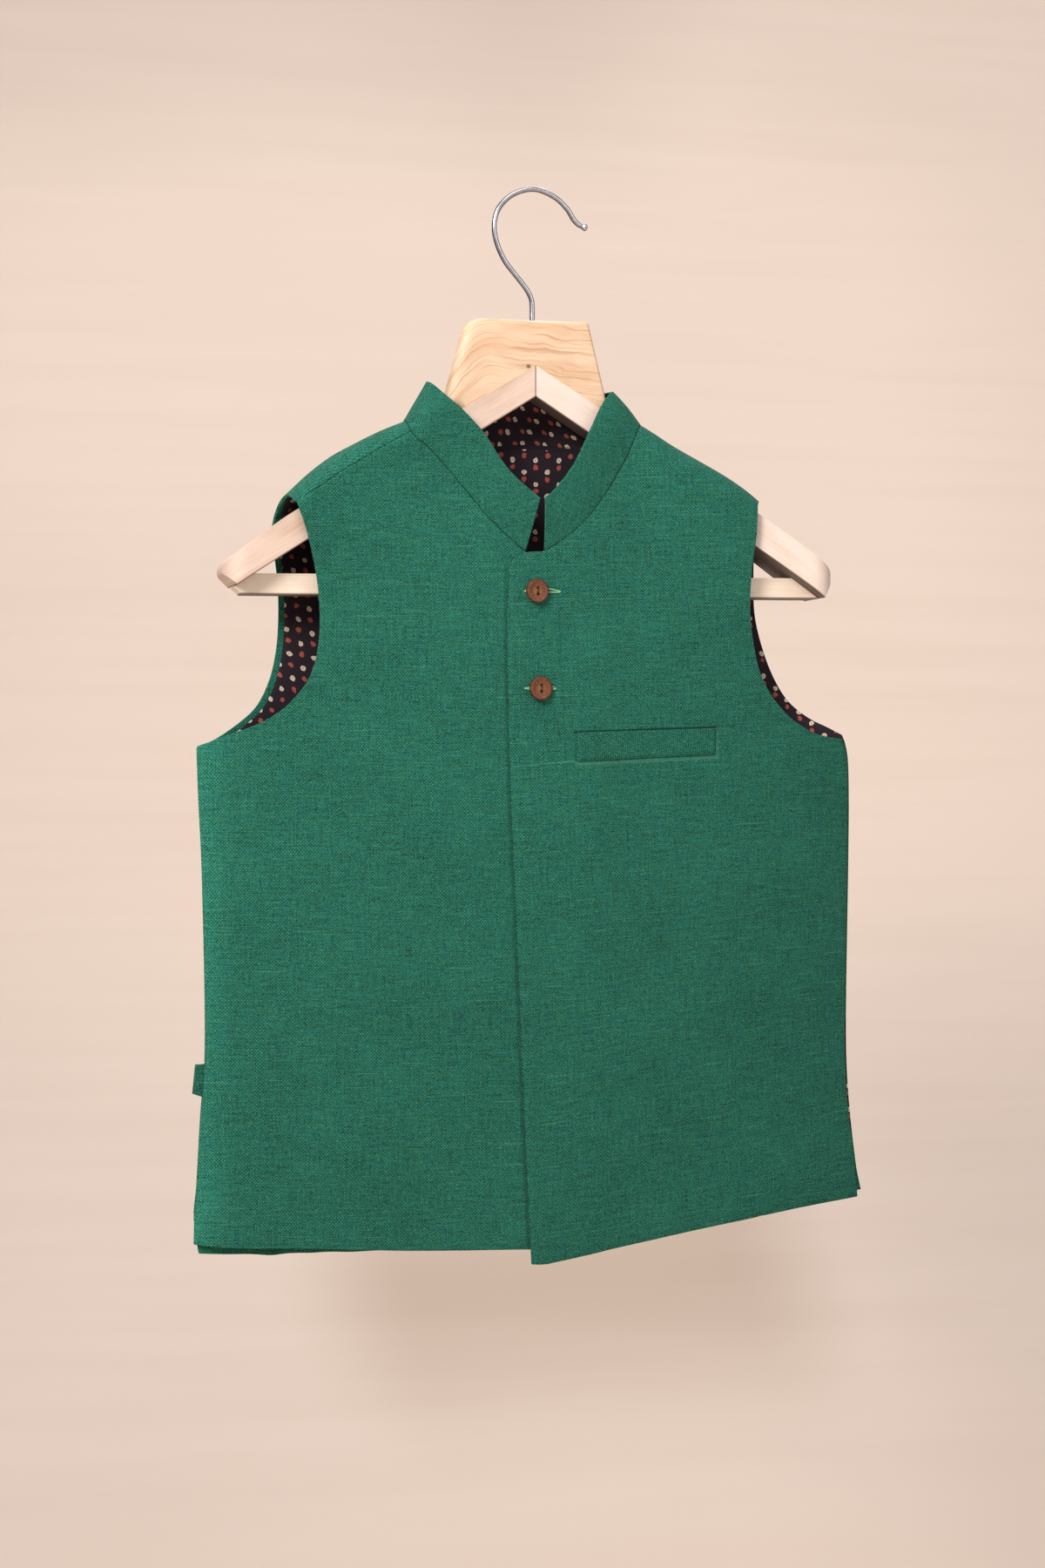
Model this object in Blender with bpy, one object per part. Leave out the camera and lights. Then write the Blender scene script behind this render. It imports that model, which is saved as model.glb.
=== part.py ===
# A child's sleeveless stand-collar jacket, hanging on a wooden hanger with a wire hook.
# Frame: metres, +Z up, -Y is the front of the jacket, +X is to the right seen from the front.
# The origin is the inside of the top of the hook's arc, which is where the hanger hangs.
# Sizes and tables below are in millimetres; MM turns them into metres.

import math

import bmesh
import bpy
from mathutils import Matrix, Vector

MM = 0.001
GAP = 0.3
RUN_STEPS = 24

# Cloth walls
PANEL_WALL = 1.6
LINING_WALL = 1.0
LINING_SLACK = 0.3
COLLAR_WALL = 1.8
WELT_WALL = 1.2
TAB_WALL = 3.0

# The cloth arches over the hanger's arms, then hangs and spreads to the body's depth
ARCH_RISE = 14.0
ARCH_RUN = 20.8
ARCH_DEPTH = {-1: 13.4, 1: 15.6}
CHEST_DEPTH = {-1: 18.5, 1: 19.0}
HEM_DEPTH = {-1: 14.0, 1: 15.0}
CHEST_Z = -300.0
HEM_Z = -600.0
SPREAD_DROP = 95.0
SIDE_DEPTH = 1.8
SIDE_POWER = 4
FLARE_START = 55.0
FLARE_RATE = 0.1
CLOSING_TOP = -240.0
CLOSING_DROP = 70.0

# Overlap of the two fronts: the left front lies on the right front up to this x
OVERLAP_X = 26.0
OVERLAP_FADE = 30.0
OVERLAP_LIFT = PANEL_WALL + GAP

# Line of the shoulders that the cloth hangs from, seen from the front
RIDGE = [  # x, z
    (-205, -216), (-175, -199), (-152, -185), (-140, -174), (-130, -164.6), (-117, -154.6),
    (-102, -146.2), (-90, -140), (-75, -133.6), (-45, -121), (0, -112.5), (40, -119.5),
    (68, -134), (82, -142.5), (98, -151), (114, -159.6), (126, -167.4), (134, -173.8),
    (139, -178.4), (155, -190), (205, -220),
]

# Side edges of the body, which set its half width at each height
SIDE_EDGE = [  # z, left x, right x
    (-160, -194, 192), (-312, -193, 190), (-348, -192, 191.4), (-391, -190, 191),
    (-483, -188.3, 189.6), (-526, -191, 191.4), (-565, -193.2, 196), (-583, -194.6, 198.4),
    (-640, -197, 201),
]

# Right front, on the left seen from the front; its centre edge runs on under the left front
RIGHT_FRONT = {
    "hem": [(16, -605), (-5, -604), (-71, -601.6), (-130, -597.5), (-174, -595.6), (-195.5, -594)],
    "centre": [(16, -605), (16, -480), (15, -340), (13, -213.5)],
    "neck": [(13, -213.5), (-1, -211), (-8.4, -207.8), (-16.2, -201.8), (-23.8, -194.6),
             (-31.4, -187.2), (-39, -177.8), (-46.5, -168.9), (-56.5, -157.4), (-65, -149),
             (-70, -145.6)],
    "armhole": [(-193, -318.5), (-178.6, -313), (-159.2, -305.6), (-147, -298), (-139.6, -291),
                (-131.5, -279), (-127.2, -262), (-126.6, -242), (-128.6, -223), (-132.7, -204),
                (-136.3, -192)],
    "tip_turn": [],
    "shoulder": [(-74.4, 14.5), (-100.1, 17.9), (-125.7, 18.7), (-140.4, 14.4)],
}

# Left front, on the right seen from the front and on top at the overlap
LEFT_FRONT = {
    "hem": [(-4, -612.6), (2, -613.2), (49.6, -604.9), (96.3, -596.8), (155.9, -587.5), (197.6, -582.8)],
    "centre": [(-4, -612.6), (-8.4, -525), (-12.4, -438), (-17, -345), (-19.2, -262), (-19, -240),
               (-17.4, -213)],
    "neck": [(-17.4, -213), (-9, -208.3), (2.1, -207.4), (10.8, -202.3), (19.5, -196), (27.1, -188.9),
             (34.9, -179.8), (41.6, -170.7), (47.8, -160.6), (52.9, -152), (57, -142.2)],
    "armhole": [(190, -313.5), (180, -312.2), (167, -309), (152, -300.5), (139, -287), (131, -271.5),
                (126.3, -250), (125.2, -232), (126.4, -213), (128.8, -195.5)],
    "tip_turn": [(129.8, 16), (133.4, 7)],
    "shoulder": [(66.5, -3), (90, -3), (114.3, -3), (137.9, -3)],
}

# Back, one piece; on the left it comes over the shoulder to the front
BACK = {
    "hem": [(-191.6, -602.6), (-154, -607), (-83, -608.8), (-4, -606.5), (90, -594), (200.6, -579)],
    "left_armhole": [(-193, -319.5), (-183.2, -315), (-170, -306.5), (-158, -296), (-150, -281),
                     (-145.6, -264), (-143.8, -246), (-143.9, -226), (-145.8, -207), (-147.5, -196.5)],
    "right_armhole": [(191.4, -314), (183, -308.6), (170, -301.5), (158, -289.5), (149, -272),
                      (142.5, -249), (140.5, -232), (141, -212), (141.7, -191)],
    "left_shoulder": [(-141.4, -13.9), (-125.7, -18.3), (-100.1, -17.5), (-74.4, -14.1)],
    "neck_left_turn": [(-74.4, -14.1), (-75.4, -1), (-73.8, 9), (-69, 18)],
    "neck": [(-69, 18), (-55, 28.5), (-28, 35), (-3, 36.5), (22, 35.5), (46, 31), (60, 20)],
    "neck_right_turn": [(60, 20), (64.4, 12), (66.5, 3.4)],
    "right_shoulder": [(66.5, 3.4), (90, 3.4), (114.3, 3.4), (138.7, 3.4)],
    "side_step": {-1: 0.0, 1: 1.6},
}
LINING_INSET = {"side": 6.0, "hem": 12.0, "armhole": 3.6, "neck": 2.2, "shoulder": 1.5}

# Stand collar: its lower edge follows the panels' neck edges, its top edge leans in over the neck
COLLAR_TOP = [  # x, y, z, from the right front's end round the back to the left front's end
    (-0.4, -21.6, -177.4), (-14.5, -20.4, -165.6), (-23.0, -19.2, -155.4), (-32.4, -18.0, -141.0),
    (-44.6, -16.6, -127.8), (-54.4, -14.4, -119.2), (-60.8, -8.0, -112.4), (-61.6, 2.0, -110.6),
    (-54.0, 12.0, -114.0), (-38.0, 16.6, -116.4), (-20.0, 17.6, -116.2), (16.0, 17.6, -114.4),
    (32.0, 16.0, -112.8), (43.6, 11.0, -112.4), (47.2, 2.0, -112.6), (45.8, -7.6, -113.8),
    (40.4, -14.2, -118.4), (36.6, -15.8, -124.2), (31.2, -17.2, -135.0), (20.8, -20.0, -155.6),
    (9.6, -22.2, -170.4), (2.0, -23.4, -177.4),
]
COLLAR_ENDS = {"right": -8.4, "left": 2.0}
COLLAR_SEAM_GAP = 1.1
COLLAR_RISE = 0.35

# Welt pocket on the left front, side tab, and the two buttons
WELT = {"left": (21.4, -310.4, -326.7), "right": (104.7, -307.5, -322.5)}  # x, top z, bottom z
TAB = [(-189.4, -496.2), (-193.6, -496.0), (-195.2, -511.6), (-190.8, -513.4)]
TAB_Y = 0.4
BUTTONS = {"button_upper": (-3.0, -230.2), "button_lower": (-0.8, -285.3)}
BUTTON_RADIUS = 7.0
BUTTON_THICK = 2.4
BUTTON_ROUND = 0.7
BUTTON_RIM = 1.3
BUTTON_DISH = 0.5
BUTTON_SEAT = 0.45
BUTTON_HOLE_RADIUS = 0.9
BUTTON_HOLE_SPACING = 3.0

# Hanger: two arms that widen towards their tips, a cross bar, a head block and a wire hook
ARM_APEX_Z = -100.3
ARM_SLOPE = {-1: 0.612, 1: 0.61}
ARM_BEND = {-1: 0.0002, 1: 0.00045}
ARM_BEND_START = 60.0
ARM_STATIONS = [FLARE_START, 85.0, 115.0, 140.0]
ARM_REACH = {-1: 180.8, 1: 178.3}
ARM_HEIGHT = {"apex": 18.0, "full": 20.4}
ARM_FULL_AT = 130.0
ARM_HALF_DEPTH = 8.1
ARM_EDGE = 3.8
ARM_UPPER = 8.0
ARM_CRISP_SHARE = 0.25
ARM_END_ROUND = 12.0
ARM_TIP_BACK = 11.0
ARM_TIP_DROP = 5.3
ARM_TIP_TURN = 2.0
ARM_HEEL_BACK = 6.8
BAR_CENTRE_Z = {-1: -227.8, 1: -225.2}
BAR_HEIGHT = 11.8
BAR_HALF_DEPTH = 8.0
BAR_EDGE = 0.4
BAR_END_BACK = 0.8
BAR_END_LEAN = 1.15
BLOCK_OUTLINE = [(-39.5, -74.3), (31.6, -74.3), (43.0, -121.5), (39.4, None), (0.0, None),
                 (-46.0, None), (-51.8, -120.5)]
BLOCK_HALF_DEPTH = 9.0
BLOCK_EDGE = 3.0
CUT_MERGE = 0.000001
BORE_RADIUS = 1.9
BORE_DEPTH = 21.0
WIRE_RADIUS = 1.5
HOOK_ROUTE = [  # x, z, wire thickness as a share
    (0.0, -94.5, 1.0), (0.0, -74.0, 1.0), (0.0, -66.0, 1.0), (-0.6, -61.0, 1.0), (-3.6, -55.4, 1.0),
    (-9.5, -48.2, 1.0), (-15.6, -40.8, 1.0), (-19.6, -33.2, 1.0), (-21.9, -25.6, 1.0),
    (-22.2, -17.8, 1.0), (-19.6, -9.8, 1.0), (-12.8, -2.6, 1.0), (-3.6, 1.35, 1.0), (4.6, 1.45, 1.0),
    (14.2, -2.6, 1.0), (20.8, -8.6, 1.0), (24.6, -14.4, 1.0), (27.6, -17.2, 1.0), (29.6, -18.0, 1.0),
    (30.9, -18.4, 1.45), (32.0, -18.6, 1.35), (32.8, -18.7, 0.7),
]
HOOK_POINTS = 58

COLOURS = {
    "green_cloth": ((0.02, 0.2, 0.105), 0.9, 0.0),
    "dotted_lining": ((0.02, 0.013, 0.02), 0.9, 0.0),
    "pale_wood": ((0.8, 0.62, 0.42), 0.55, 0.0),
    "pine": ((0.85, 0.6, 0.33), 0.5, 0.0),
    "coconut_shell": ((0.22, 0.09, 0.045), 0.45, 0.0),
    "steel": ((0.5, 0.5, 0.52), 0.3, 1.0),
}


def mix(a, b, share):
    return a + (b - a) * share


def smooth(value):
    t = min(max(value, 0.0), 1.0)
    return t * t * (3 - 2 * t)


def material(name):
    made = bpy.data.materials.get(name)
    if made is None:
        colour, roughness, metallic = COLOURS[name]
        made = bpy.data.materials.new(name)
        made.use_nodes = True
        shader = made.node_tree.nodes["Principled BSDF"]
        shader.inputs["Base Color"].default_value = (*colour, 1.0)
        shader.inputs["Roughness"].default_value = roughness
        shader.inputs["Metallic"].default_value = metallic
        made.diffuse_color = (*colour, 1.0)
    return made


# Faces made consistent, then turned so that the closed body faces out
def face_out(bm):
    bmesh.ops.recalc_face_normals(bm, faces=bm.faces[:])
    if bm.calc_volume(signed=True) < 0:
        bmesh.ops.reverse_faces(bm, faces=bm.faces[:])


def new_object(name, bm, finish):
    face_out(bm)
    mesh = bpy.data.meshes.new(name)
    bm.to_mesh(mesh)
    bm.free()
    mesh.shade_smooth()
    mesh.set_sharp_from_angle(angle=math.radians(40))
    mesh.materials.append(material(finish))
    made = bpy.data.objects.new(name, mesh)
    bpy.context.collection.objects.link(made)
    return made


# Smooth value at a place on a table of (place, value) rows
def table_value(rows, place, column=1):
    rows = sorted(rows)
    last = len(rows) - 1
    i = max(k for k in range(last) if k == 0 or rows[k][0] <= place)
    x0, x1 = rows[i][0], rows[i + 1][0]
    slopes = []
    for k in (i, i + 1):
        a, b = rows[max(k - 1, 0)], rows[min(k + 1, last)]
        slopes.append((b[column] - a[column]) / (b[0] - a[0]))
    t = (place - x0) / (x1 - x0)
    width = x1 - x0
    return ((2 * t**3 - 3 * t**2 + 1) * rows[i][column] + (t**3 - 2 * t**2 + t) * width * slopes[0]
            + (3 * t**2 - 2 * t**3) * rows[i + 1][column] + (t**3 - t**2) * width * slopes[1])


# Points evenly spaced along a smooth curve through the given points
def even_points(points, count):
    knots = [Vector(p) for p in points]
    fine = []
    for i in range(len(knots) - 1):
        p0 = knots[max(i - 1, 0)]
        p1, p2 = knots[i], knots[i + 1]
        p3 = knots[min(i + 2, len(knots) - 1)]
        for k in range(12):
            t = k / 12
            fine.append(0.5 * (2 * p1 + (p2 - p0) * t + (2 * p0 - 5 * p1 + 4 * p2 - p3) * t**2
                               + (3 * p1 - p0 - 3 * p2 + p3) * t**3))
    fine.append(knots[-1])
    reached = [0.0]
    for a, b in zip(fine, fine[1:]):
        reached.append(reached[-1] + (b - a).length)
    result = []
    k = 0
    for n in range(count + 1):
        want = reached[-1] * n / count
        while k < len(fine) - 2 and reached[k + 1] < want:
            k += 1
        share = (want - reached[k]) / (reached[k + 1] - reached[k])
        result.append(fine[k].lerp(fine[k + 1], min(share, 1.0)))
    return result


def ridge(x):
    return table_value(RIDGE, x)


# The run s is the way down the cloth from the ridge; past the ridge, on the other side, it is negative
def run_at(x, z):
    drop = ridge(x) - z
    if drop >= ARCH_RISE:
        return ARCH_RUN + drop - ARCH_RISE
    return ARCH_RUN * math.acos(1 - drop / ARCH_RISE) / (math.pi / 2)


# The same smooth line through (x, z) points, as (x, run) places
def runs(points):
    return [(x, run_at(x, z)) for x, z in even_points(points, RUN_STEPS)]


# The arms are deeper towards their tips, and the cloth over them with them
def shoulder_flare(x):
    return FLARE_RATE * max(abs(x) - FLARE_START, 0.0)


# Distance of the body's outside from its middle plane
def body_depth(side, x, z):
    drop = ridge(x) - ARCH_RISE - z
    full = mix(CHEST_DEPTH[side], HEM_DEPTH[side], smooth((CHEST_Z - z) / (CHEST_Z - HEM_Z)))
    full = mix(ARCH_DEPTH[side] + shoulder_flare(x), full, smooth(drop / SPREAD_DROP))
    half_width = abs(table_value(SIDE_EDGE, z, 1 if x < 0 else 2))
    across = min(abs(x) / half_width, 1.0) ** SIDE_POWER
    closing = smooth((CLOSING_TOP - z) / CLOSING_DROP)
    return mix(full, SIDE_DEPTH, across * closing)


# Point of the body's outside; side is -1 for the front and 1 for the back
def skin(side, x, s):
    top = ridge(x)
    if s < ARCH_RUN:
        turn = s / ARCH_RUN * math.pi / 2
        depth = ARCH_DEPTH[side if s >= 0 else -side] + shoulder_flare(x)
        return Vector((x, side * depth * math.sin(turn), top - ARCH_RISE * (1 - math.cos(turn))))
    z = top - ARCH_RISE - (s - ARCH_RUN)
    return Vector((x, side * body_depth(side, x, z), z))


def skin_normal(side, x, s):
    step = 0.5
    across = skin(side, x + step, s) - skin(side, x - step, s)
    down = skin(side, x, s + step) - skin(side, x, s - step)
    return across.cross(down).normalized() * side


def on_body(side, x, s, lift):
    return skin(side, x, s) + skin_normal(side, x, s) * lift


def overlap_lift(x):
    return OVERLAP_LIFT * (1 - smooth((x - OVERLAP_X) / OVERLAP_FADE))


# Grid of (x, s) places inside four edges; edges are lists of points, opposite ones of equal length
def filled_patch(left, right, bottom, top):
    rows, columns = len(left) - 1, len(bottom) - 1
    grid = []
    for i in range(rows + 1):
        v = i / rows
        line = []
        for j in range(columns + 1):
            u = j / columns
            edges = mix(left[i], right[i], u) + mix(bottom[j], top[j], v)
            corners = mix(mix(bottom[0], bottom[-1], u), mix(top[0], top[-1], u), v)
            line.append(edges - corners)
        grid.append(line)
    return grid


# A closed wall: a flat slab of cells whose two faces are bent to the places given for each cell corner
def cloth_wall(name, rows, columns, place, finish):
    bm = bmesh.new()
    bmesh.ops.create_grid(bm, x_segments=columns, y_segments=rows, size=0.5)
    made = bmesh.ops.extrude_face_region(bm, geom=bm.faces[:], use_keep_orig=True)
    moved = [v for v in made["geom"] if isinstance(v, bmesh.types.BMVert)]
    bmesh.ops.translate(bm, verts=moved, vec=(0, 0, 1))
    for v in bm.verts:
        row = round((v.co.y + 0.5) * rows)
        column = round((v.co.x + 0.5) * columns)
        v.co = place(row, column, v.co.z > 0.5) * MM
    return new_object(name, bm, finish)


def panel(name, side, grid, lift, wall, finish):
    def place(row, column, inner):
        x, s = grid[row][column]
        return on_body(side, x, s, lift(x) - (wall if inner else 0.0))
    return cloth_wall(name, len(grid) - 1, len(grid[0]) - 1, place, finish)


def front_grid(cut, columns, side_rows, armhole_rows, centre_rows, arch_rows):
    neck_rows = side_rows + armhole_rows - centre_rows
    centre = even_points(runs(cut["centre"]), centre_rows)
    neck = even_points(runs(cut["neck"]), neck_rows)
    shoulder = cut["shoulder"]
    neck_arch = even_points([neck[-1], shoulder[0]], arch_rows)
    armhole_start = cut["armhole"][0]
    side_x = [cut["hem"][-1]] + side_points(cut["hem"][-1][1], armhole_start)
    side = even_points(runs(side_x), side_rows)
    armhole = even_points(runs(cut["armhole"]), armhole_rows)
    tip_arch = even_points([armhole[-1], *cut["tip_turn"], shoulder[-1]], arch_rows)
    inner = centre + neck[1:] + neck_arch[1:]
    outer = side + armhole[1:] + tip_arch[1:]
    hem = even_points(runs(cut["hem"]), columns)
    return filled_patch(inner, outer, hem, even_points(shoulder, columns))


# Side edge from the hem up to the armhole, read from the table of the body's sides
def side_points(hem_z, armhole_start):
    column = 1 if armhole_start[0] < 0 else 2
    points = [(row[column], row[0]) for row in sorted(SIDE_EDGE) if hem_z + 8 < row[0] < armhole_start[1] - 8]
    return points + [armhole_start]


def make_fronts():
    grid = front_grid(RIGHT_FRONT, 11, 13, 10, 18, 4)
    panel("front_right", -1, grid, lambda x: 0.0, PANEL_WALL, "green_cloth")
    grid = front_grid(LEFT_FRONT, 11, 13, 10, 18, 8)
    panel("front_left", -1, grid, overlap_lift, PANEL_WALL, "green_cloth")


def back_side(left, step, hem_point, armhole_start):
    points = []
    step = -step[-1] if left else step[1]
    for x, z in side_points(hem_point[1], armhole_start)[:-1]:
        points.append((x + step, z))
    return [hem_point] + points + [armhole_start]


def back_grid(cut, columns, side_rows, armhole_rows, arch_rows):
    top = even_points(cut["left_shoulder"], columns["shoulder"])
    top += even_points(cut["neck_left_turn"], columns["left_turn"])[1:]
    top += even_points(cut["neck"], columns["neck"])[1:]
    top += even_points(cut["neck_right_turn"], columns["right_turn"])[1:]
    top += even_points(cut["right_shoulder"], columns["shoulder"])[1:]
    edges = []
    for left, key, tip in ((True, "left_armhole", top[0]), (False, "right_armhole", top[-1])):
        hem_point = cut["hem"][0 if left else -1]
        side = back_side(left, cut["side_step"], hem_point, cut[key][0])
        armhole = even_points(runs(cut[key]), armhole_rows)
        arch = even_points([armhole[-1], tip], arch_rows)
        edges.append(even_points(runs(side), side_rows) + armhole[1:] + arch[1:])
    hem = even_points(runs(cut["hem"]), len(top) - 1)
    return filled_patch(edges[0], edges[1], hem, top)


# The lining's cut is the back's, set in from each of its edges
def lining_cut():
    side, hem = LINING_INSET["side"], LINING_INSET["hem"]
    armhole, neck, shoulder = LINING_INSET["armhole"], LINING_INSET["neck"], LINING_INSET["shoulder"]
    cut = {"side_step": {-1: -side, 1: -side}}
    side += BACK["side_step"][1]
    cut["hem"] = [(x * (1 - side / BACK["hem"][-1][0]), z + hem) for x, z in BACK["hem"]]
    for key, inward in (("left_armhole", 1), ("right_armhole", -1)):
        cut[key] = []
        for i, (x, z) in enumerate(BACK[key]):
            inset = mix(side, armhole, smooth(i / 3))
            fall = armhole * (1 - i / (len(BACK[key]) - 1))
            cut[key].append((x + inward * inset, z - fall))
    for key in ("left_shoulder", "right_shoulder"):
        last = len(BACK[key]) - 1
        cut[key] = [(x + neck * (1 - 2 * i / last), s + shoulder) for i, (x, s) in enumerate(BACK[key])]
    cut["neck_left_turn"] = [(x - neck, s + shoulder + neck * i / 3)
                             for i, (x, s) in enumerate(BACK["neck_left_turn"])]
    cut["neck_right_turn"] = [(x + neck, s + shoulder + neck * (2 - i) / 2)
                              for i, (x, s) in enumerate(BACK["neck_right_turn"])]
    back_neck = [(x, s + shoulder + neck) for x, s in BACK["neck"][1:-1]]
    cut["neck"] = [cut["neck_left_turn"][-1], *back_neck, cut["neck_right_turn"][0]]
    return cut


def make_back():
    columns = {"shoulder": 5, "left_turn": 6, "neck": 8, "right_turn": 4}
    grid = back_grid(BACK, columns, 13, 10, 8)
    panel("back", 1, grid, lambda x: 0.0, PANEL_WALL, "green_cloth")
    lining_lift = -(PANEL_WALL + GAP + LINING_SLACK)
    columns = {"shoulder": 4, "left_turn": 5, "neck": 6, "right_turn": 3}
    grid = back_grid(lining_cut(), columns, 10, 8, 7)
    panel("back_lining", 1, grid, lambda x: lining_lift, LINING_WALL, "dotted_lining")


# Places on the body along the whole neck edge, from the right front's end to the left front's end
def neck_edge():
    right = even_points(runs(p for p in RIGHT_FRONT["neck"] if p[0] <= COLLAR_ENDS["right"]), 12)
    left = even_points(runs(p for p in LEFT_FRONT["neck"] if p[0] >= COLLAR_ENDS["left"]), 12)
    left += even_points([left[-1], LEFT_FRONT["shoulder"][0]], 4)[1:]
    back = even_points(BACK["neck_left_turn"], 6)
    back += even_points(BACK["neck"], 12)[1:] + even_points(BACK["neck_right_turn"], 4)[1:]
    places = [(-1, x, s, 0.0) for x, s in right]
    places += [(1, x, s, 0.0) for x, s in back]
    return places + [(-1, x, s, overlap_lift(x)) for x, s in left[::-1]]


def make_collar():
    rounds, rises = 56, 3
    edge = neck_edge()
    seam = even_points([on_body(*place) for place in edge], rounds)
    normals = even_points([on_body(*place) + skin_normal(*place[:3]) for place in edge], rounds)
    top = even_points(COLLAR_TOP, rounds)

    def place(row, column, inner):
        rise = row / rises
        up = (top[column] - seam[column]).normalized()
        ahead = seam[min(column + 1, rounds)] - seam[max(column - 1, 0)]
        own = up.cross(ahead).normalized()
        seam_normal = (normals[column] - seam[column]).normalized()
        normal = mix(seam_normal, own, smooth(rise * 1.5)).normalized()
        bow = own * COLLAR_RISE * math.sin(math.pi * rise)
        at = seam[column].lerp(top[column], rise) + up * COLLAR_SEAM_GAP * (1 - rise) + bow
        return at - normal * (COLLAR_WALL if inner else 0.0)

    return cloth_wall("collar", rises, rounds, place, "green_cloth")


def make_welt():
    columns, rows = 8, 1

    def place(row, column, inner):
        share = column / columns
        x = mix(WELT["left"][0], WELT["right"][0], share)
        top = mix(WELT["left"][1], WELT["right"][1], share)
        bottom = mix(WELT["left"][2], WELT["right"][2], share)
        s = run_at(x, mix(bottom, top, row / rows))
        return on_body(-1, x, s, overlap_lift(x) + GAP + (0.0 if inner else WELT_WALL))

    cloth_wall("pocket_welt", rows, columns, place, "green_cloth")


# A flat outline in the XZ plane, drawn through to both sides of the middle plane. The half depth
# may change along X; share gives each rim edge's part of the full edge rounding
def slab(name, outline, half_depth, edge, finish, y=0.0, share=None):
    bm = bmesh.new()
    face = bm.faces.new([bm.verts.new((x * MM, -1, z * MM)) for x, z in outline])
    made = bmesh.ops.extrude_face_region(bm, geom=[face], use_keep_orig=True)
    moved = [v for v in made["geom"] if isinstance(v, bmesh.types.BMVert)]
    bmesh.ops.translate(bm, verts=moved, vec=(0, 2, 0))
    if callable(half_depth):
        for x in sorted({round(x, 2) for x, z in outline})[1:-1]:
            bmesh.ops.bisect_plane(bm, geom=bm.verts[:] + bm.edges[:] + bm.faces[:], dist=CUT_MERGE,
                                   plane_co=(x * MM, 0, 0), plane_no=(1, 0, 0))
    weight = bm.edges.layers.float.new("bevel_weight_edge")
    flat = {f for f in bm.faces if abs(sum(v.co.y for v in f.verts)) > len(f.verts) - 0.5}
    for e in bm.edges:
        if len(flat.intersection(e.link_faces)) == 1:
            middle = (e.verts[0].co + e.verts[1].co) / 2 / MM
            e[weight] = share(middle.x, middle.z) if share else 1.0
    for v in bm.verts:
        half = half_depth(v.co.x / MM) if callable(half_depth) else half_depth
        v.co.y = (y + v.co.y * half) * MM
    made = new_object(name, bm, finish)
    if edge:
        rounding = made.modifiers.new("rounded rims", "BEVEL")
        rounding.limit_method = "WEIGHT"
        rounding.width = edge * MM
        rounding.segments = 2
    return made


def turned(start, corner, end, steps):
    start, corner, end = Vector(start), Vector(corner), Vector(end)
    points = []
    for k in range(steps + 1):
        t = k / steps
        points.append(tuple((1 - t) ** 2 * start + 2 * t * (1 - t) * corner + t**2 * end))
    return points


def rounded_corner(before, corner, after, radius, steps):
    before, corner, after = Vector(before), Vector(corner), Vector(after)
    start = corner + (before - corner).normalized() * radius
    end = corner + (after - corner).normalized() * radius
    return turned(start, corner, end, steps)


def arm_top(side, x):
    bend = ARM_BEND[side] * max(abs(x) - ARM_BEND_START, 0.0) ** 2
    return ARM_APEX_Z - ARM_SLOPE[side] * abs(x) - bend


def arm_bottom(side, x):
    return arm_top(side, x) - mix(ARM_HEIGHT["apex"], ARM_HEIGHT["full"], min(abs(x) / ARM_FULL_AT, 1.0))


# The end is rounded seen from above
def arm_half_depth(side, x):
    full = ARM_HALF_DEPTH + shoulder_flare(x)
    past = abs(x) - (ARM_REACH[side] - ARM_END_ROUND)
    if past > 0:
        full -= ARM_END_ROUND - math.sqrt(max(ARM_END_ROUND**2 - past**2, 0.0))
    return full


# Soft upper edges, crisp lower ones and a crisp joint between the arms
def arm_edge_share(side, x, z):
    if abs(x) > GAP and z > arm_top(side, x) - ARM_UPPER:
        return 1.0
    return ARM_CRISP_SHARE


def make_arm(name, side):
    reach = ARM_REACH[side]
    heel = (reach - ARM_HEEL_BACK, arm_bottom(side, reach - ARM_HEEL_BACK))
    end = (reach, arm_top(side, reach) - ARM_TIP_DROP)
    top = (reach - ARM_TIP_BACK, arm_top(side, reach - ARM_TIP_BACK))
    outline = [(x, arm_bottom(side, x)) for x in (GAP / 2, *ARM_STATIONS)]
    outline += [heel] + rounded_corner(heel, end, (reach, arm_top(side, reach)), ARM_TIP_TURN, 2)
    outline += turned(outline[-1], (reach, arm_top(side, reach)), top, 4)[1:]
    outline += [(x, arm_top(side, x)) for x in (*ARM_STATIONS[::-1], GAP / 2)]
    slab(name, [(side * x, z) for x, z in outline], lambda x: arm_half_depth(side, x), ARM_EDGE, "pale_wood",
         share=lambda x, z: arm_edge_share(side, x, z))


# Place where a level meets the arm's lower face, less the joint's gap
def under_arm(side, z):
    x = 120.0
    for _ in range(30):
        slope = arm_bottom(side, x + 1) - arm_bottom(side, x)
        x += (z - arm_bottom(side, x) + GAP * math.hypot(1, slope)) / slope
    return x


# The bar's ends follow the arms' lower faces, then are cut off in line with the arms' ends
def make_bar():
    outline = []
    for side in (-1, 1):
        top = BAR_CENTRE_Z[side] + BAR_HEIGHT / 2
        bottom = BAR_CENTRE_Z[side] - BAR_HEIGHT / 2
        start = under_arm(side, top)
        end = min(under_arm(side, bottom), ARM_REACH[side] - ARM_HEEL_BACK) - BAR_END_BACK
        way = [(start, top)]
        for x in (mix(start, end, 0.5), end):
            slope = arm_bottom(side, x + 1) - arm_bottom(side, x)
            way.append((x, arm_bottom(side, x) - GAP * math.hypot(1, slope)))
        way.append((end - (way[-1][1] - bottom) * BAR_END_LEAN, bottom))
        ends = [(side * x, z) for x, z in way]
        outline += ends if side > 0 else ends[::-1]
    slab("hanger_bar", outline, BAR_HALF_DEPTH, BAR_EDGE, "pale_wood")


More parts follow.
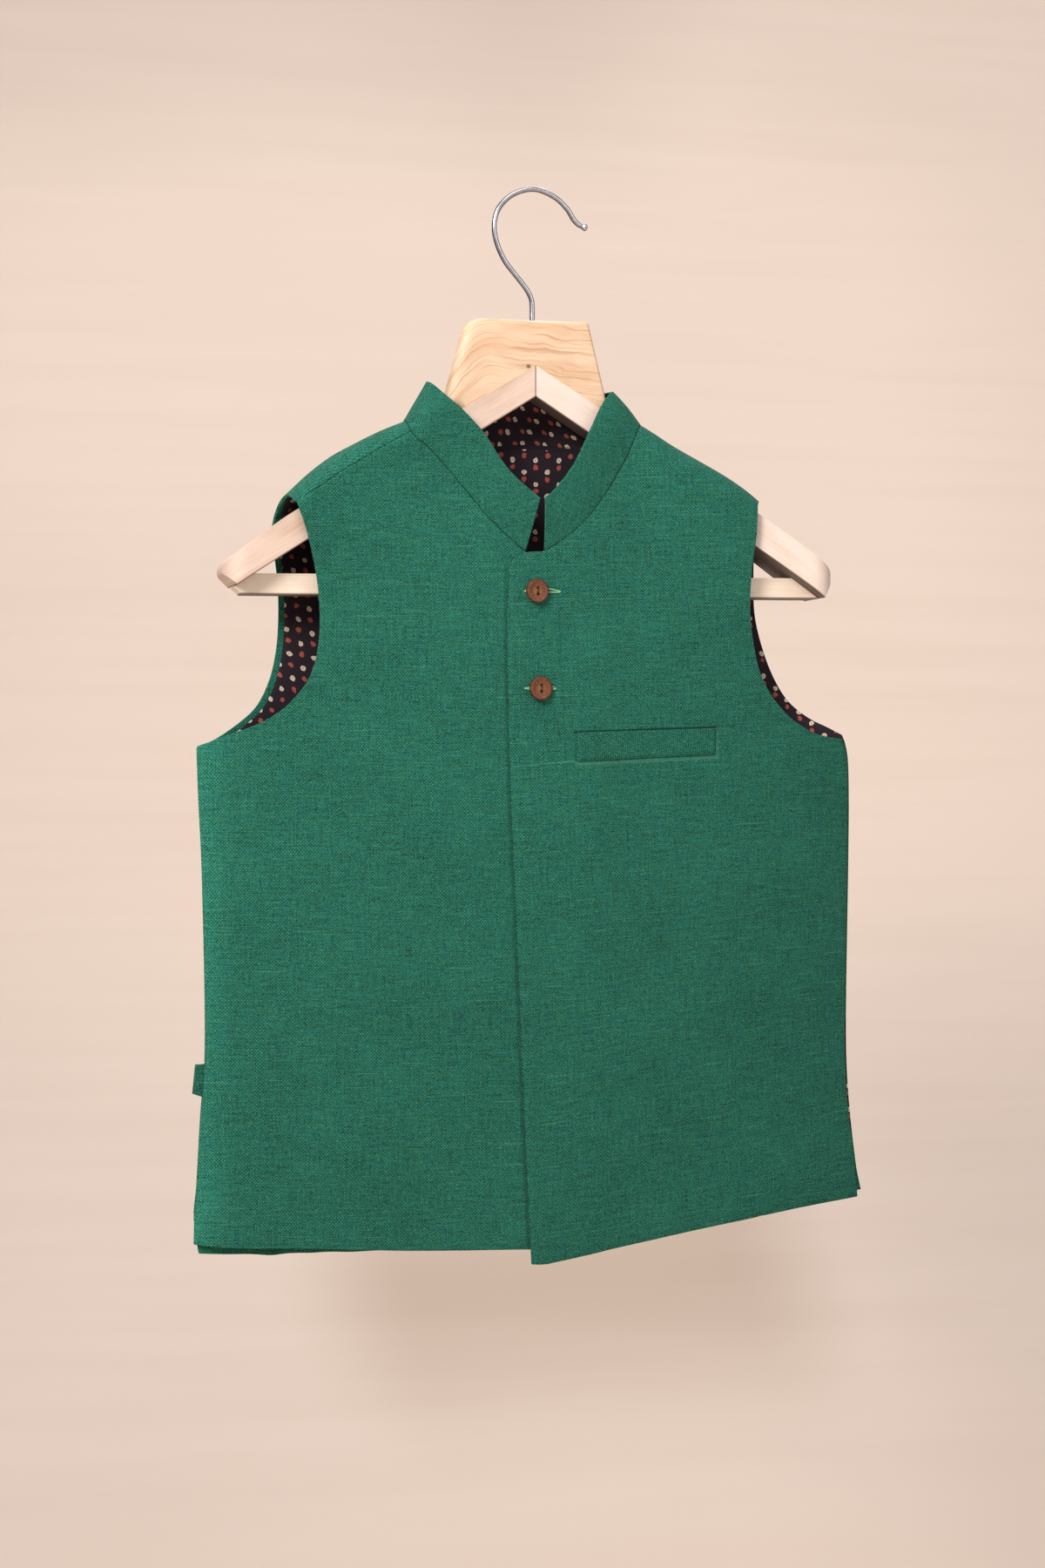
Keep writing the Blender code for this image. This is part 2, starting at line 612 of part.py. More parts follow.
def make_block():
    outline = []
    for x, z in BLOCK_OUTLINE:
        side = -1 if x < 0 else 1
        outline.append((x, arm_top(side, x) + GAP * 1.25 if z is None else z))
    top_left, top_right = outline[0], outline[1]
    shape = rounded_corner(outline[-1], top_left, top_right, 5.0, 3)
    shape += rounded_corner(top_left, top_right, outline[2], 2.0, 2)
    shape += outline[2:]
    block = slab("hanger_block", shape, BLOCK_HALF_DEPTH, BLOCK_EDGE, "pine")
    bore = bmesh.new()
    bmesh.ops.create_cone(bore, cap_ends=True, segments=12, radius1=BORE_RADIUS * MM,
                          radius2=BORE_RADIUS * MM, depth=2 * BORE_DEPTH * MM)
    bmesh.ops.translate(bore, verts=bore.verts[:], vec=(0, 0, BLOCK_OUTLINE[0][1] * MM))
    cutter = new_object("stem_bore_cutter", bore, "steel")
    cutter.hide_render = True
    cutter.display_type = "WIRE"
    cut = block.modifiers.new("stem bore", "BOOLEAN")
    cut.operation = "DIFFERENCE"
    cut.object = cutter


def make_hook():
    route = even_points([(x, z, share * 10) for x, z, share in HOOK_ROUTE], HOOK_POINTS)
    curve = bpy.data.curves.new("hanger_hook", "CURVE")
    curve.dimensions = "3D"
    curve.bevel_depth = WIRE_RADIUS * MM
    curve.bevel_resolution = 3
    curve.use_fill_caps = True
    line = curve.splines.new("POLY")
    line.points.add(len(route) - 1)
    for point, (x, z, share) in zip(line.points, route):
        point.co = (x * MM, 0, z * MM, 1)
        point.radius = share / 10
    curve.materials.append(material("steel"))
    bpy.context.collection.objects.link(bpy.data.objects.new("hanger_hook", curve))


# A turned button with a dished face and two holes one above the other, lying on the overlap
def make_button(name, x, z):
    rim, edge, turn = BUTTON_RADIUS, BUTTON_THICK, BUTTON_ROUND
    profile = [(0, 0), (rim - turn, 0), (rim, turn), (rim, edge - turn), (rim - turn, edge),
               (rim - BUTTON_RIM, edge), (rim - BUTTON_RIM - 1, edge - BUTTON_DISH), (0, edge - BUTTON_DISH)]
    bm = bmesh.new()
    points = [bm.verts.new((r * MM, 0, h * MM)) for r, h in profile]
    edges = [bm.edges.new(pair) for pair in zip(points, points[1:])]
    bmesh.ops.spin(bm, geom=points + edges, axis=(0, 0, 1), cent=(0, 0, 0), angle=2 * math.pi, steps=28,
                   use_merge=True)
    bmesh.ops.remove_doubles(bm, verts=bm.verts[:], dist=0.00001)
    s = run_at(x, z)
    normal = skin_normal(-1, x, s)
    seat = on_body(-1, x, s, overlap_lift(x) + BUTTON_SEAT)
    turn = Vector((0, 0, 1)).rotation_difference(normal).to_matrix().to_4x4()
    stand = Matrix.Translation(seat * MM) @ turn
    button = new_object(name, bm, "coconut_shell")
    button.matrix_world = stand
    for k in (-1, 1):
        hole = bmesh.new()
        bmesh.ops.create_cone(hole, cap_ends=True, segments=10, radius1=BUTTON_HOLE_RADIUS * MM,
                              radius2=BUTTON_HOLE_RADIUS * MM, depth=4 * BUTTON_THICK * MM)
        cutter = new_object(f"{name}_hole_cutter_{k}", hole, "steel")
        offset = Vector((0, 0, k * BUTTON_HOLE_SPACING / 2 * MM))
        cutter.matrix_world = Matrix.Translation(seat * MM + offset) @ turn
        cutter.hide_render = True
        cutter.display_type = "WIRE"
        cut = button.modifiers.new(f"thread hole {k}", "BOOLEAN")
        cut.operation = "DIFFERENCE"
        cut.object = cutter


def main():
    for old in list(bpy.data.objects):
        bpy.data.objects.remove(old, do_unlink=True)
    make_back()
    make_fronts()
    make_collar()
    make_welt()
    slab("side_tab", TAB, TAB_WALL / 2, 0.0, "green_cloth", TAB_Y)
    for name, (x, z) in BUTTONS.items():
        make_button(name, x, z)
    make_arm("hanger_arm_left", -1)
    make_arm("hanger_arm_right", 1)
    make_bar()
    make_block()
    make_hook()


main()
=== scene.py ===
# A child's sleeveless jacket on its wooden hanger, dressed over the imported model.
# Sizes in the tables are in millimetres, and mm turns them into metres.
import math
from functools import lru_cache

import bmesh
import bpy
from mathutils import Matrix, Vector, noise


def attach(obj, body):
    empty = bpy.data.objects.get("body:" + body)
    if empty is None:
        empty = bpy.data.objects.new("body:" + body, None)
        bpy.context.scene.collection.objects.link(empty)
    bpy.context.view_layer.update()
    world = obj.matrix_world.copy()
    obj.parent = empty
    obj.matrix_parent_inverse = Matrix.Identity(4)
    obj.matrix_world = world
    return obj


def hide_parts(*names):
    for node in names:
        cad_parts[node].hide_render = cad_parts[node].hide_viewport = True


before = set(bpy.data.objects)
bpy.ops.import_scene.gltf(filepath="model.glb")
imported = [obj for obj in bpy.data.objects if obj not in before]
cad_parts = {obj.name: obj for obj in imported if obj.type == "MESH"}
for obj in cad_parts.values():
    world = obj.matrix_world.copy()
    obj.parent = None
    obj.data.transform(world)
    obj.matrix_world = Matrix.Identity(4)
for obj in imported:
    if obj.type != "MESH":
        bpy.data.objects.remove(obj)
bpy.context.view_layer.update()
mm = 0.001
print("frame loaded")


def placed(name, data):
    made = bpy.data.objects.new(name, data)
    bpy.context.scene.collection.objects.link(made)
    return made


# Camera and lights

camera = {"turn": 14, "away": 1650, "aside": -5.5, "level": -339.5, "lens": 66, "sensor": 36, "clip": 20}


def makeCamera():
    turn = math.radians(camera["turn"])
    ahead = Vector((math.sin(turn), math.cos(turn), 0))
    right = Vector((math.cos(turn), -math.sin(turn), 0))
    data = bpy.data.cameras.new("frontCamera")
    data.sensor_fit = "VERTICAL"
    data.sensor_height = camera["sensor"]
    data.lens = camera["lens"]
    data.clip_end = camera["clip"]
    made = placed("frontCamera", data)
    made.location = (right * camera["aside"] - ahead * camera["away"] + Vector((0, 0, camera["level"]))) * mm
    made.rotation_euler = (math.radians(90), 0, -turn)
    bpy.context.scene.camera = made


lights = {  # place in metres, size in metres, watts, colour
    "keyLight": ((-1.8, -1.75, 1.15), 1.2, 74, (1, 0.97, 0.95)),
    "fillLight": ((1.4, -2.1, 0.8), 1.6, 9, (1, 0.98, 0.98)),
    "topLight": ((-0.3, -0.6, 1.4), 1, 10, (1, 0.98, 0.97)),
    "backLight": ((0.6, 1.5, 1.5), 0.8, 14, (1, 0.98, 0.97)),
}
worldLight = {"colour": (0.96, 0.95, 0.96), "strength": 0.48, "aim": (0, 0, -0.3)}


def makeLights():
    bpy.context.scene.view_settings.view_transform = "Standard"
    aim = Vector(worldLight["aim"])
    for name, (place, size, power, colour) in lights.items():
        data = bpy.data.lights.new(name, "AREA")
        data.shape = "DISK"
        data.size = size
        data.energy = power
        data.color = colour
        made = placed(name, data)
        made.location = place
        made.rotation_euler = (aim - Vector(place)).to_track_quat("-Z", "Y").to_euler()
    world = bpy.data.worlds.new("softWorld")
    world.use_nodes = True
    background = world.node_tree.nodes["Background"]
    background.inputs["Color"].default_value = (*worldLight["colour"], 1)
    background.inputs["Strength"].default_value = worldLight["strength"]
    bpy.context.scene.world = world


# Shader maths: a Value wraps a socket, a Look is one material

class Value:
    def __init__(self, look, socket):
        self.look = look
        self.socket = socket

    def calc(self, operation, *others):
        return self.look.maths(operation, self, *others)

    def __add__(self, other):
        return self.calc("ADD", other)

    def __sub__(self, other):
        return self.calc("SUBTRACT", other)

    def __rsub__(self, other):
        return self.look.maths("SUBTRACT", other, self)

    def __mul__(self, other):
        return self.calc("MULTIPLY", other)

    def __truediv__(self, other):
        return self.calc("DIVIDE", other)

    __radd__ = __add__
    __rmul__ = __mul__

    def step(self, low, high, start=0, end=1):
        return self.look.node("ShaderNodeMapRange", {"interpolation_type": "SMOOTHSTEP"},
                              {"Value": self, "From Min": low, "From Max": high, "To Min": start, "To Max": end})


class Look:
    def __init__(self, name, fixed):
        self.material = bpy.data.materials.new(name)
        self.material.use_nodes = True
        self.tree = self.material.node_tree
        self.shader = self.tree.nodes["Principled BSDF"]
        for key, value in fixed.items():
            self.shader.inputs[key].default_value = value

    def node(self, kind, settings, values, out=0):
        made = self.tree.nodes.new(kind)
        for key, setting in settings.items():
            setattr(made, key, setting)
        for key, value in values.items():
            if isinstance(value, Value):
                self.tree.links.new(value.socket, made.inputs[key])
            else:
                made.inputs[key].default_value = value
        return Value(self, made.outputs[out])

    def maths(self, operation, *terms):
        return self.node("ShaderNodeMath", {"operation": operation}, dict(enumerate(terms)))

    def vectors(self, operation, *terms, out=0):
        return self.node("ShaderNodeVectorMath", {"operation": operation}, dict(enumerate(terms)), out)

    def blend(self, share, first, second, kind="MIX"):
        first, second = [(*c, 1) if isinstance(c, tuple) else c for c in (first, second)]
        return self.node("ShaderNodeMix", {"data_type": "RGBA", "blend_type": kind},
                         {0: share, 6: first, 7: second}, 2)

    # Two tints start the base colour, and a single one goes over what is there
    def paint(self, share, *tints, kind="MIX"):
        first, second = tints if len(tints) > 1 else (self.painted, *tints)
        self.painted = self.blend(share, first, second, kind)
        self.tree.links.new(self.painted.socket, self.shader.inputs["Base Color"])

    # Paint where a value goes from low to high
    def layer(self, value, low, high, share, *tints):
        reached = value.step(low, high)
        self.paint(reached * share, *tints)
        return reached

    def dim(self, red, green, blue):
        self.paint(1, self.join(red, green, blue), kind="MULTIPLY")

    def join(self, x, y, z=0):
        return self.node("ShaderNodeCombineXYZ", {}, {0: x, 1: y, 2: z})

    def split(self, vector):
        made = self.node("ShaderNodeSeparateXYZ", {}, {0: vector})
        return [Value(self, socket) for socket in made.socket.node.outputs]

    # Noise between about 0.25 and 0.75, with its own scale along each of two directions
    def grain(self, x, y, scaleX, scaleY, seed=0, detail=2, roughness=0.5):
        return self.node("ShaderNodeTexNoise", {"noise_dimensions": "3D"},
                         {"Vector": self.join(x * scaleX, y * scaleY, seed), "Scale": 1, "Detail": detail,
                          "Roughness": roughness})

    # A grain to either side of nothing, with its whole range first
    def drift(self, x, y, amount, *row):
        return (self.grain(x, y, *row) - 0.5) * amount

    # Places on the cloth in millimetres, from its own UV map
    def clothPlace(self):
        return self.split(self.node("ShaderNodeUVMap", {"uv_map": "cloth"}, {}))[:2]

    def objectPlace(self):
        place = self.node("ShaderNodeTexCoord", {}, {}, 3)
        return self.split(self.vectors("MULTIPLY", place, (1000, 1000, 1000)))

    def rough(self, value, share, least):
        self.tree.links.new((value * share + least).socket, self.shader.inputs["Roughness"])

    def bump(self, height, depth, strength):
        made = self.node("ShaderNodeBump", {}, {"Height": height, "Distance": depth * mm, "Strength": strength})
        self.tree.links.new(made.socket, self.shader.inputs["Normal"])

    # How near a place is to a straight line between two points, 1 on the line
    def nearLine(self, place, start, end, half, soft):
        a, b = Vector((*start, 0)), Vector((*end, 0))
        along = self.vectors("SUBTRACT", place, tuple(a))
        share = self.vectors("DOT_PRODUCT", along, tuple((b - a) / (b - a).length_squared), out=1)
        share = share.calc("MAXIMUM", 0).calc("MINIMUM", 1)
        foot = self.vectors("MULTIPLY", self.join(share, share), tuple(b - a))
        apart = self.vectors("LENGTH", self.vectors("SUBTRACT", along, foot), out=1)
        return apart.step(half, half + soft, 1, 0)


# In every look's table, a grain's row is scale along each direction, seed, detail and roughness, with
# its range before it where it drifts. A layer's row is from, to, share and one or two tints; rough is
# share and least; bump is depth and strength

greenPale, greenDark = (0.11, 0.36, 0.23), (0.002, 0.022, 0.02)
green = {
    "fixed": {"Roughness": 0.9, "Sheen Weight": 0.05, "Sheen Roughness": 0.6, "Sheen Tint": (0.5, 0.9, 0.7, 1),
              "Specular IOR Level": 0.15},
    "weft": (0.0225, 0.156, 0.1), "warp": (0.0075, 0.08, 0.056),
    "thread": (0.86, 0.94), "wander": ((2.2, 0.06, 0.012, 3), (2.2, 0.012, 0.06, 7)),
    "over": (-0.25, 0.25), "tilt": (-300, -620, 0.03, 0.12),
    "tones": (  # share and grain of warp, weft, specks, mottle, patches
        (0.9, (1.2, 0.05, 11, 2, 0.6)), (1.1, (0.05, 1.1, 13, 2, 0.6)),
        (2.6, (1.15, 1.25, 15, 1, 0.6)), (0.35, (0.018, 0.022, 19)), (0.8, (0.3, 0.4, 23, 2, 0.6))),
    "yarnShadeShare": 0.45, "tone": 0.72, "leastTone": 0.12,
    # Painted light over the piece: darker towards the hem and to the right, a painted highlight along the left edge
    "paintedLightFades": ((-250, -620, 1.03, 0.88), (-60, 200, 1.03, 0.91), (-170, -196, 1, 1.45)),
    "tint": (0.12, 0.16, 27, 2, 0.6),
    "blue": (0.5, 0.72, 0.6, (0.012, 0.113, 0.09)), "olive": (0.5, 0.28, 0.15, (0.03, 0.125, 0.055)),
    "spots": (  # slubs, pale knots, dark flecks
        ((0.035, 1.3, 17, 1), (0.66, 0.76, 0.3, greenPale)),
        ((0.75, 1.1, 29, 0), (0.74, 0.82, 0.45, greenPale)),
        ((0.7, 0.9, 31, 0), (0.74, 0.82, 0.7, greenDark))),
    "relief": (0.8, 0.4, 0.8, 0.5), "bump": (0.2, 0.7),
}


# Plain-weave handloom cotton: warp and weft in two greens, thick and thin yarns, a few slubs along the
# weft, small pale and dark knots. Painted light goes over it: shade at each yarn, and in some looks shade
# towards the hem and the right, a highlight at the left edge, and lines of painted shadow and highlight
def makeGreen(name, turn=0, tilt=False, seamsAndPaintedLight=(), flat=False, shade=1, fade=False):
    look = Look(name, green["fixed"])
    x, y = look.objectPlace()[::2] if flat else look.clothPlace()
    plain = look.join(x, y)
    if turn:
        angle = math.radians(turn)
        x, y = x * math.cos(angle) - y * math.sin(angle), x * math.sin(angle) + y * math.cos(angle)
    if tilt:
        y = y - x * y.step(*green["tilt"])
    waves = []
    for way, row, thread in zip((x, y), green["wander"], green["thread"]):
        waves.append(((way + look.drift(x, y, *row)) * (math.pi / thread)).calc("SINE"))
    over = (waves[0] * waves[1]).step(*green["over"])
    bulge = waves[1].calc("ABSOLUTE") * (1 - over) + waves[0].calc("ABSOLUTE") * over
    tint = look.grain(x, y, *green["tint"])
    look.paint(over, green["weft"], green["warp"])
    look.layer(tint, *green["blue"])
    look.layer(tint, *green["olive"])
    _, weft, speck, *_ = grains = [look.grain(x, y, *row) for share, row in green["tones"]]
    # Painted shade at yarn scale: the tone is lighter on each yarn's crown and darker where it dips
    tone = bulge * green["yarnShadeShare"] + green["tone"]
    for grain, (share, row) in zip(grains, green["tones"]):
        tone = tone + (grain - 0.5) * share
    tone = tone.calc("MAXIMUM", green["leastTone"]) * shade
    # Painted shade towards the hem and to the right, and a painted highlight along the left edge
    if fade:
        for way, row in zip((y, x, x), green["paintedLightFades"]):
            tone = tone * way.step(*row)
    look.dim(tone, tone, tone)
    slubs, *_ = [look.layer(look.grain(x, y, *grain), *row) for grain, row in green["spots"]]
    height = sum(part * share for part, share in zip((bulge, slubs, speck, weft), green["relief"]))
    # Seams, and lines of painted shadow and painted highlight
    for start, end, half, soft, dark, sink in seamsAndPaintedLight:
        line = look.nearLine(plain, start, end, half, soft)
        look.paint(line * abs(dark), greenDark if dark > 0 else greenPale)
        height = height - line * sink
    look.bump(height, *green["bump"])
    return look.material


lining = {
    "fixed": {"Roughness": 0.85, "Specular IOR Level": 0.25},
    "weave": (1.8, 2.4, 9), "ground": (0.35, 0.7, 1, (0.013, 0.008, 0.012), (0.028, 0.017, 0.024)),
    "cream": (0.78, 0.62, 0.48), "heart": (0.48, 0.34, 0.25), "heartFrom": (0.9, 0.3, 0, 0.8),
    "red": (0.43, 0.09, 0.066), "period": (13.9, 13.8), "radius": 1.4, "soft": (-0.2, 0.25),
    "wanderX": (2.2, 0.25, 0.25, 2), "wanderY": (2.2, 0.25, 0.25, 5), "ragged": (0.9, 0.9, 0.9, 8),
    "redInk": (0.5, 0.6), "creamInk": (0.4, 0.7),
    "sideTop": (-90, -110), "sideRow": (-115.5, 0.15), "sideColumn": (-238, 0.08), "sideBeside": 2,
    "bump": (0.12, 0.7),
}


# Dark lining cotton with a hand-printed lattice of cream dots, each with a red dot beside it. Near
# the left armhole the print lies askew and its dots are further apart
def makeLining(name, shift=(0, 0), beside=(0, 0), askew=False, printed=1):
    look = Look(name, lining["fixed"])
    x, y = look.clothPlace()
    besideX, besideY = beside
    if askew:
        share = x.step(*lining["sideTop"])
        start, rise = lining["sideRow"]
        level, lean = lining["sideColumn"]
        x, y = x + (y - level) * share * lean, y + (x - start).calc("MINIMUM", 0) * rise
        besideY = besideY - share * lining["sideBeside"]
    x = x + look.drift(x, y, *lining["wanderX"]) + shift[0]
    y = y + look.drift(x, y, *lining["wanderY"]) + shift[1]
    wide, high = lining["period"]
    ragged = look.drift(x, y, *lining["ragged"])
    weave = look.grain(x, y, *lining["weave"])
    look.layer(weave, *lining["ground"])
    near, far = (lining["radius"] + soft for soft in lining["soft"])
    for asideX, asideY, tint in ((besideX, besideY, "red"), (0, 0, "cream")):
        reaches = []
        for half in (0, 0.5):
            cell = look.vectors("FRACTION", look.join((x - asideX) / wide + half, (y - asideY) / high + half))
            place = look.vectors("MULTIPLY", look.vectors("SUBTRACT", cell, (0.5, 0.5, 0)), (wide, high, 0))
            reaches.append(look.vectors("LENGTH", place, out=1) + ragged)
        apart = reaches[0].calc("MINIMUM", reaches[1])
        ink, colour = lining[f"{tint}Ink"], lining[tint]
        if tint == "cream":
            colour = look.blend(apart.step(*lining["heartFrom"]), colour, lining["heart"])
        look.paint(apart.step(near, far, 1, 0) * (weave * ink[0] + ink[1]) * printed, colour)
    look.bump(weave, *lining["bump"])
    return look.material


# One wood in three copies: the bar's is paler, as painted light against the arm's shadow on it, and the left arm's is
# darker than the right's, partly painted shade
woods = {
    "leftArmWood": ((0.76, 0.58, 0.47), (0.62, 0.43, 0.32), (0.44, 0.25, 0.16)),
    "rightArmWood": ((0.84, 0.69, 0.6), (0.76, 0.59, 0.48), (0.58, 0.4, 0.3)),
    "barWood": ((0.95, 0.8, 0.64), (0.88, 0.69, 0.52), (0.62, 0.4, 0.26)),
    "pine": ((0.8, 0.57, 0.39), (0.69, 0.45, 0.275), (0.46, 0.23, 0.1)),
    # under: dark brown for the painted shade on lower faces, and for the joint line and the nail hole
    "under": (0.07, 0.04, 0.028), "end": (0.42, 0.31, 0.25),
}
paleWood = {
    "fixed": {"Roughness": 0.6, "Specular IOR Level": 0.3}, "bump": (0.1, 0.5),
    "long": (0.01, 0.4, 3, 3, 0.6), "cloud": (0.03, 0.06, 17, 3), "longShare": 0.4,
    "fine": (0.025, 2.4, 7, 3, 0.6), "fineLean": 0.6, "pores": (0.09, 3.6, 13, 1), "poresLean": 0.9,
    "darker": (0.42, 0.68, 1), "veins": (0.48, 0.76, 0.42), "poreRange": (0.64, 0.76, 0.45),
    "endRun": 10, "endShare": 0.55, "paintedUnderShade": (1.2, 0.3, 0.85), "joint": (0.7, 0.2, 0.5),
    "rough": (0.3, 0.45), "poreDepth": 0.6,
}


# Raw pale wood with its grain along the piece. The lower face, at the level given by the list of
# slope, bend and heights, is darker: painted shade
def makePaleWood(name, under):
    look = Look(name, paleWood["fixed"])
    light, dark, vein = woods[name]
    x, y, z = look.objectPlace()
    side = x.calc("ABSOLUTE")
    past = (side - arms["bendStart"]).calc("MAXIMUM", 0)
    down = z + side * under["slope"] + past * past * under["bend"] - x * under["lean"]
    long = look.grain(x, down, *paleWood["long"])
    cloud = look.grain(x, down, *paleWood["cloud"])
    fine = look.grain(x, down + y * paleWood["fineLean"], *paleWood["fine"])
    pores = look.grain(x, down + y * paleWood["poresLean"], *paleWood["pores"])
    tone = long * paleWood["longShare"] + cloud * (1 - paleWood["longShare"])
    look.layer(tone, *paleWood["darker"], light, dark)
    look.layer(fine, *paleWood["veins"], vein)
    pores = look.layer(pores, *paleWood["poreRange"], vein)
    grown = (side / arms["fullAt"]).calc("MINIMUM", 1) * under["growth"]
    # Darker towards the ends: end grain, with painted shade on the end faces
    look.layer(side, under["endFrom"], under["endFrom"] + paleWood["endRun"], paleWood["endShare"], woods["end"])
    # Painted shade on the lower face and along the lower edge
    look.layer(down + grown - under["bottom"], *paleWood["paintedUnderShade"], woods["under"])
    look.layer(side, *paleWood["joint"], woods["under"])
    look.rough(fine, *paleWood["rough"])
    look.bump(fine - pores * paleWood["poreDepth"], *paleWood["bump"])
    return look.material


pineGrain = {
    "fixed": {"Roughness": 0.5, "Specular IOR Level": 0.35}, "bump": (0.1, 0.5),
    "pitch": 3.1, "bend": 0.032, "turnAt": -23, "fall": 0.09, "lean": 0.25,
    "wander": (7, 0.05, 0.09, 4), "uneven": (2.5, 0.002, 0.3, 6),
    "held": (0.03, 0.35, 12), "heldRange": (0.36, 0.62), "fine": (0.04, 2, 9, 3),
    "cloud": (0.03, 0.09, 15), "darker": (0.38, 0.66, 0.8), "veins": (0.54, 0.78, 0.25),
    "ringRange": (0.55, 0.88), "ringEnd": (1, 0.93), "ringShare": 0.6, "ringRise": 0.3,
    "nail": ((-4.3, -101.2), (-4, -101.2), 0.5, 1.2), "nailFrom": (0, -8, 0, 0.8),
    "nailSink": 2, "rough": (0.2, 0.4),
}


# Head block: thin brown year lines lie nearly level and drop away at the left end
def makePine(name):
    look = Look(name, pineGrain["fixed"])
    light, dark, vein = woods[name]
    x, y, z = look.objectPlace()
    away = (pineGrain["turnAt"] - x).calc("MAXIMUM", 0)
    level = (z + away * away * pineGrain["bend"] + x * pineGrain["fall"] + y * pineGrain["lean"]
             + look.drift(x, z, *pineGrain["wander"]))
    band = (level / pineGrain["pitch"] + look.drift(x, level, *pineGrain["uneven"])).calc("FRACT")
    ring = band.step(*pineGrain["ringRange"]) * band.step(*pineGrain["ringEnd"])
    held = look.grain(x, level, *pineGrain["held"]).step(*pineGrain["heldRange"])
    fine = look.grain(x, level, *pineGrain["fine"])
    look.layer(look.grain(x, level, *pineGrain["cloud"]), *pineGrain["darker"], light, dark)
    look.paint(ring * held * pineGrain["ringShare"], vein)
    look.layer(fine, *pineGrain["veins"], vein)
    nail = look.nearLine(look.join(x, z), *pineGrain["nail"])
    look.paint(nail * y.step(*pineGrain["nailFrom"]), woods["under"])
    look.rough(fine, *pineGrain["rough"])
    look.bump(fine + ring * pineGrain["ringRise"] - nail * pineGrain["nailSink"], *pineGrain["bump"])
    return look.material


shell = {
    "fixed": {"Roughness": 0.4, "Coat Weight": 0.04, "Coat Roughness": 0.3, "Specular IOR Level": 0.3},
    "fibre": (0.5, 2.2, 3, 4, 0.65), "brown": (0.35, 0.7, 1, (0.1, 0.032, 0.014), (0.27, 0.1, 0.045)),
    "fleck": (1.4, 3.6, 6, 1), "flecks": (0.66, 0.76, 0.6, (0.025, 0.009, 0.006)),
    "rim": (5.6, 6.6, 0.7, (0.03, 0.011, 0.007)), "middle": (3.4, 1.6, 0.3, (0.5, 0.2, 0.09)),
    "rough": (0.3, 0.25), "bump": (0.06, 0.6),
}


# Coconut shell: each button is paler in its dish and dark at its rim
def makeCoconut(name):
    look = Look(name, shell["fixed"])
    x, y, z = look.objectPlace()
    (upperX, upperZ), (lowerX, lowerZ) = (spec["at"] for spec in buttons.values())
    lower = z.step((upperZ + lowerZ) / 2, (upperZ + lowerZ) / 2 - 1)
    asideX, asideZ = x - lower * (lowerX - upperX) - upperX, z - lower * (lowerZ - upperZ) - upperZ
    apart = look.vectors("LENGTH", look.join(asideX, asideZ), out=1)
    fibre = look.grain(x, z, *shell["fibre"])
    look.layer(fibre, *shell["brown"])
    fleck = look.layer(look.grain(x, z, *shell["fleck"]), *shell["flecks"])
    look.layer(apart, *shell["rim"])
    look.layer(apart, *shell["middle"])
    look.rough(fibre, *shell["rough"])
    look.bump(fibre - fleck, *shell["bump"])
    return look.material


steel = {
    "fixed": {"Metallic": 1}, "draw": (0.5, 0.5, 2, 4),
    "bare": (0.3, 0.7, 1, (0.5, 0.5, 0.53), (0.64, 0.64, 0.67)),
    "sides": (-1.4, -0.95, 0.85, (0.08, 0.075, 0.09)), "rough": (0.08, 0.2),
}


# Bright wire with painted shade on its sides, so that its front reads as a painted highlight
def makeSteel(name):
    look = Look(name, steel["fixed"])
    x, y, z = look.objectPlace()
    draw = look.grain(x, z, *steel["draw"])
    look.layer(draw, *steel["bare"])
    # Painted shade on the wire's sides
    look.layer(y, *steel["sides"])
    look.rough(draw, *steel["rough"])
    return look.material


def makeThread(name, light, dark):
    look = Look(name, {"Roughness": 0.8})
    x, y, z = look.objectPlace()
    twist = look.grain(x + z, z - x, 3, 0.8, 2)
    look.layer(twist, 0.35, 0.65, 1, light, dark)
    look.bump(twist, 0.08, 0.6)
    return look.material


sweep = {
    "fixed": {"Roughness": 0.95, "Specular IOR Level": 0.1}, "streak": (0.0015, 0.03, 4, 3),
    "cloud": (0.001, 0.0015, 9), "streakShare": 0.4,
    "tints": (0.4, 0.62, 1, (0.92, 0.78, 0.68), (0.89, 0.75, 0.65)),
    "leftPaintedShade": (-900, 800, 0.86, 1), "lowPaintedShade": (-300, -1000, 1, 0.89),
    "topFrom": (380, 700), "topLeftPaintedShade": (900, 500, 0, 0.14), "rightFrom": (600, 1200),
    "rightPaintedLight": (-300, -850, 0.08, -0.07), "shadow": ((360, -975), (760, -965), 5, 200),
    "shadowDim": (0.22, 0.05, 0.1), "wide": 10, "front": -4, "back": 2.3, "top": 3.2, "bend": 0.9, "floor": -1.2,
    "turns": 12,
}


# Pale paper with painted light: dimmer at the left, below and at the top left, brighter at the right, with a painted
# soft shadow under the hems
def makeSweepLook(name):
    look = Look(name, sweep["fixed"])
    x, y, z = look.objectPlace()
    streak, cloud = look.grain(x, z, *sweep["streak"]), look.grain(x, z, *sweep["cloud"])
    look.layer(streak * sweep["streakShare"] + cloud * (1 - sweep["streakShare"]), *sweep["tints"])
    # Painted shade at the left, below and at the top left, painted light at the right, and a painted shadow under the
    # hems
    tone = x.step(*sweep["leftPaintedShade"]) * z.step(*sweep["lowPaintedShade"])
    tone = tone * (1 - z.step(*sweep["topFrom"]) * x.step(*sweep["topLeftPaintedShade"]))
    tone = tone * (1 + x.step(*sweep["rightFrom"]) * z.step(*sweep["rightPaintedLight"]))
    shadow = look.nearLine(look.join(x, z), *sweep["shadow"])
    every, ofGreen, ofBlue = sweep["shadowDim"]
    tone = tone * (1 - shadow * every)
    look.dim(tone, tone * (1 - shadow * ofGreen), tone * (1 - shadow * ofBlue))
    return look.material


# The form that the cloth hangs on: over the arms, then down to the body's depth

